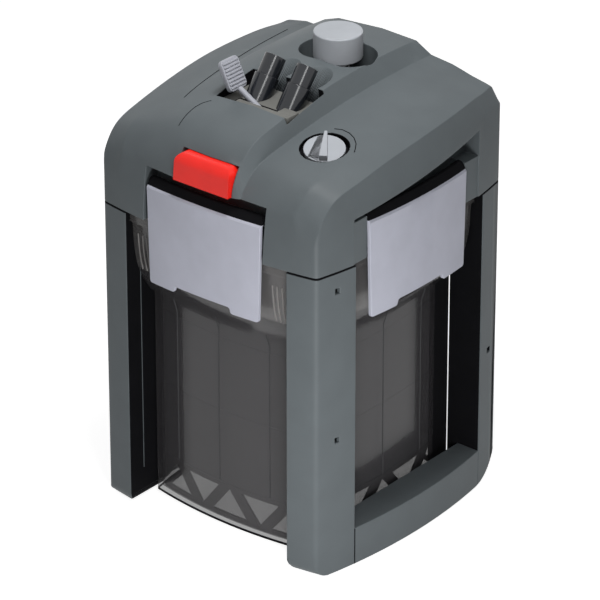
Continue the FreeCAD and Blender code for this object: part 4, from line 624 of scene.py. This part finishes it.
# Fine lines traced on a skin: panel seams on the head, moulded ribs on the canister
seamLooks = {
    "seam_deck": {"radius": 0.33, "points": ((-42, -96), (-43, -90), (-44, -82), (-44, -74),
                                             (-41.5, -68), (-36.5, -64.5))},
    "seam_step": {"radius": 0.33, "points": ((-67, -61), (-70, -40), (-73, -10), (-77, 30),
                                             (-82, 81))},
    "seam_dial": {"radius": 0.40, "points": ((57, -31.5), (63, -29), (70, -29.5), (77, -32.5),
                                             (83, -37.5), (87, -43.5), (89, -47))},
}
seamSteps = 8  # points traced between two of a seam's own
ribSides = {"front": (0, 1, 0), "rear": (0, -1, 0), "right": (-1, 0, 0), "left": (1, 0, 0)}
wallRibs = {"material": "rib", "radius": 0.45, "across": (-51, -6, 43),
            "heights": [42 + 12 * step for step in range(13)]}
rimRibs = {"material": "rimRib", "radius": 0.6,
           "across": (-74.5, -69.5, -65, -61, 61, 65, 69.5, 74.5),
           "heights": [208 + 4 * step for step in range(9)]}
traceStart = 0.5  # metres from the middle


def traceLine(name, node, starts, toward, radius):
    # Drops each start point onto the skin and draws a thin tube through the hits
    line = bpy.data.curves.new(name, "CURVE")
    line.dimensions = "3D"
    line.bevel_depth = radius * mm
    line.bevel_resolution = 1
    spline = line.splines.new("POLY")
    spline.points.add(len(starts) - 1)
    for point, start in zip(spline.points, starts):
        place = dressed[node].ray_cast(Vector(start), Vector(toward))[1]
        point.co = (*place, 1)
    drawn = bpy.data.objects.new(name + "_line", line)
    scene.collection.objects.link(drawn)
    bpy.context.view_layer.update()
    traced = bpy.data.objects.new(name, bpy.data.meshes.new_from_object(drawn))
    scene.collection.objects.link(traced)
    bpy.data.objects.remove(drawn)
    return traced


def makeSeam(name, look):
    points = look["points"]
    starts = []
    for first, last in zip(points, points[1:]):
        for step in range(seamSteps):
            share = step / seamSteps
            x = first[0] + (last[0] - first[0]) * share
            y = first[1] + (last[1] - first[1]) * share
            starts.append((x * mm, y * mm, traceStart))
    starts.append((points[-1][0] * mm, points[-1][1] * mm, traceStart))
    seam = traceLine(name, "head_housing", starts, (0, 0, -1), look["radius"])
    finishPiece(seam, "blackAndPaintedShade", "head", "housing")


def makeRibs(name, toward, look):
    ribs = []
    for across in look["across"]:
        sideways = Vector((abs(toward[1]), abs(toward[0]), 0)) * across * mm
        foot = sideways - Vector(toward) * traceStart
        starts = [foot + Vector((0, 0, height * mm)) for height in look["heights"]]
        ribs.append(traceLine(name, "canister_shell", starts, toward, look["radius"]))
    finishPiece(joinPieces(name, ribs), look["material"], "frame", "canister")


for name, look in seamLooks.items():
    makeSeam(name, look)
for side, toward in ribSides.items():
    makeRibs("wall_ribs_" + side, toward, wallRibs)
    makeRibs("rim_ribs_" + side, toward, rimRibs)
print("stage: seams and ribs traced")


# Floor, light and camera
floorLook = {"colour": (0.80, 0.80, 0.80), "roughness": 0.9, "shine": 0.85, "side": 12,
             "patchScale": 2, "patchDetail": 2.0, "shades": (0.98, 1)}
lightLooks = {
    "side": {"place": (0.38, -0.40, 0.12), "size": 0.15, "power": 1.34},
    "above": {"place": (0.10, -0.10, 0.85), "size": 0.15, "power": 2.45},
    "glint": {"place": (0.60, -0.56, 0.98), "size": 0.22, "power": 1.40},
}
skyLook = {"hidden": 0.18, "seen": 1.0}
lookAt = Vector((0, 0, 0.175))
# Angles in degrees; right and above shift the picture, in dots of its frame
cameraLook = {
    "azimuth": 39.534, "elevation": 27.027, "distance": 3.51594, "lens": 270, "sensor": 36,
    "right": 2.514, "above": 12.284, "frame": 600, "near": 0.05, "far": 50,
}


def showWhite(tree, strength):
    # Shines only towards the camera and in reflections and clear plastic
    path = tree.nodes.new("ShaderNodeLightPath")
    seen = path.outputs["Is Camera Ray"]
    for kind in ("Is Glossy Ray", "Is Transmission Ray"):
        either = tree.nodes.new("ShaderNodeMath")
        either.operation = "MAXIMUM"
        tree.links.new(seen, either.inputs[0])
        tree.links.new(path.outputs[kind], either.inputs[1])
        seen = either.outputs["Value"]
    shine = tree.nodes.new("ShaderNodeMapRange")
    shine.inputs["To Min"].default_value = strength["hidden"]
    shine.inputs["To Max"].default_value = strength["seen"]
    tree.links.new(seen, shine.inputs["Value"])
    return shine.outputs["Result"]


def addFloor():
    bpy.ops.mesh.primitive_plane_add(size=1, location=(0, 0, 0))
    floor = bpy.context.active_object
    floor.name = "floor"
    floor.data.transform(Matrix.Scale(floorLook["side"], 4))
    material, tree, shader, place = newMaterial("paleFloor")
    broad = addNoise(tree, place, floorLook["patchScale"], floorLook["patchDetail"])
    addPatches(tree, shader, broad, floorLook["colour"], floorLook["shades"])
    shader.inputs["Roughness"].default_value = floorLook["roughness"]
    shader.inputs["Emission Color"].default_value = (1, 1, 1, 1)
    shine = showWhite(tree, {"hidden": 0.0, "seen": floorLook["shine"]})
    tree.links.new(shine, shader.inputs["Emission Strength"])
    floor.data.materials.append(material)


def addLights():
    for name, look in lightLooks.items():
        lamp = bpy.data.lights.new(name, "AREA")
        lamp.shape = "SQUARE"
        lamp.size = look["size"]
        lamp.energy = look["power"]
        holder = bpy.data.objects.new(name, lamp)
        holder.location = look["place"]
        holder.visible_camera = False
        aim = lookAt - Vector(look["place"])
        holder.rotation_euler = aim.to_track_quat("-Z", "Y").to_euler()
        scene.collection.objects.link(holder)
    world = bpy.data.worlds.new("studio")
    world.use_nodes = True
    background = world.node_tree.nodes["Background"]
    background.inputs["Color"].default_value = (1, 1, 1, 1)
    shine = showWhite(world.node_tree, skyLook)
    world.node_tree.links.new(shine, background.inputs["Strength"])
    scene.world = world


def addCamera():
    turn = math.radians(cameraLook["azimuth"])
    rise = math.radians(cameraLook["elevation"])
    level = math.cos(rise)
    view = Vector((-math.sin(turn) * level, math.cos(turn) * level, -math.sin(rise)))
    data = bpy.data.cameras.new("camera")
    data.sensor_width = cameraLook["sensor"]
    data.lens = cameraLook["lens"]
    data.shift_x = -cameraLook["right"] / cameraLook["frame"]
    data.shift_y = -cameraLook["above"] / cameraLook["frame"]
    data.clip_start = cameraLook["near"]
    data.clip_end = cameraLook["far"]
    camera = bpy.data.objects.new("camera", data)
    camera.location = lookAt - view * cameraLook["distance"]
    camera.rotation_euler = view.to_track_quat("-Z", "Y").to_euler()
    scene.collection.objects.link(camera)
    scene.camera = camera


addFloor()
addLights()
addCamera()
print("stage: floor, light and camera set")
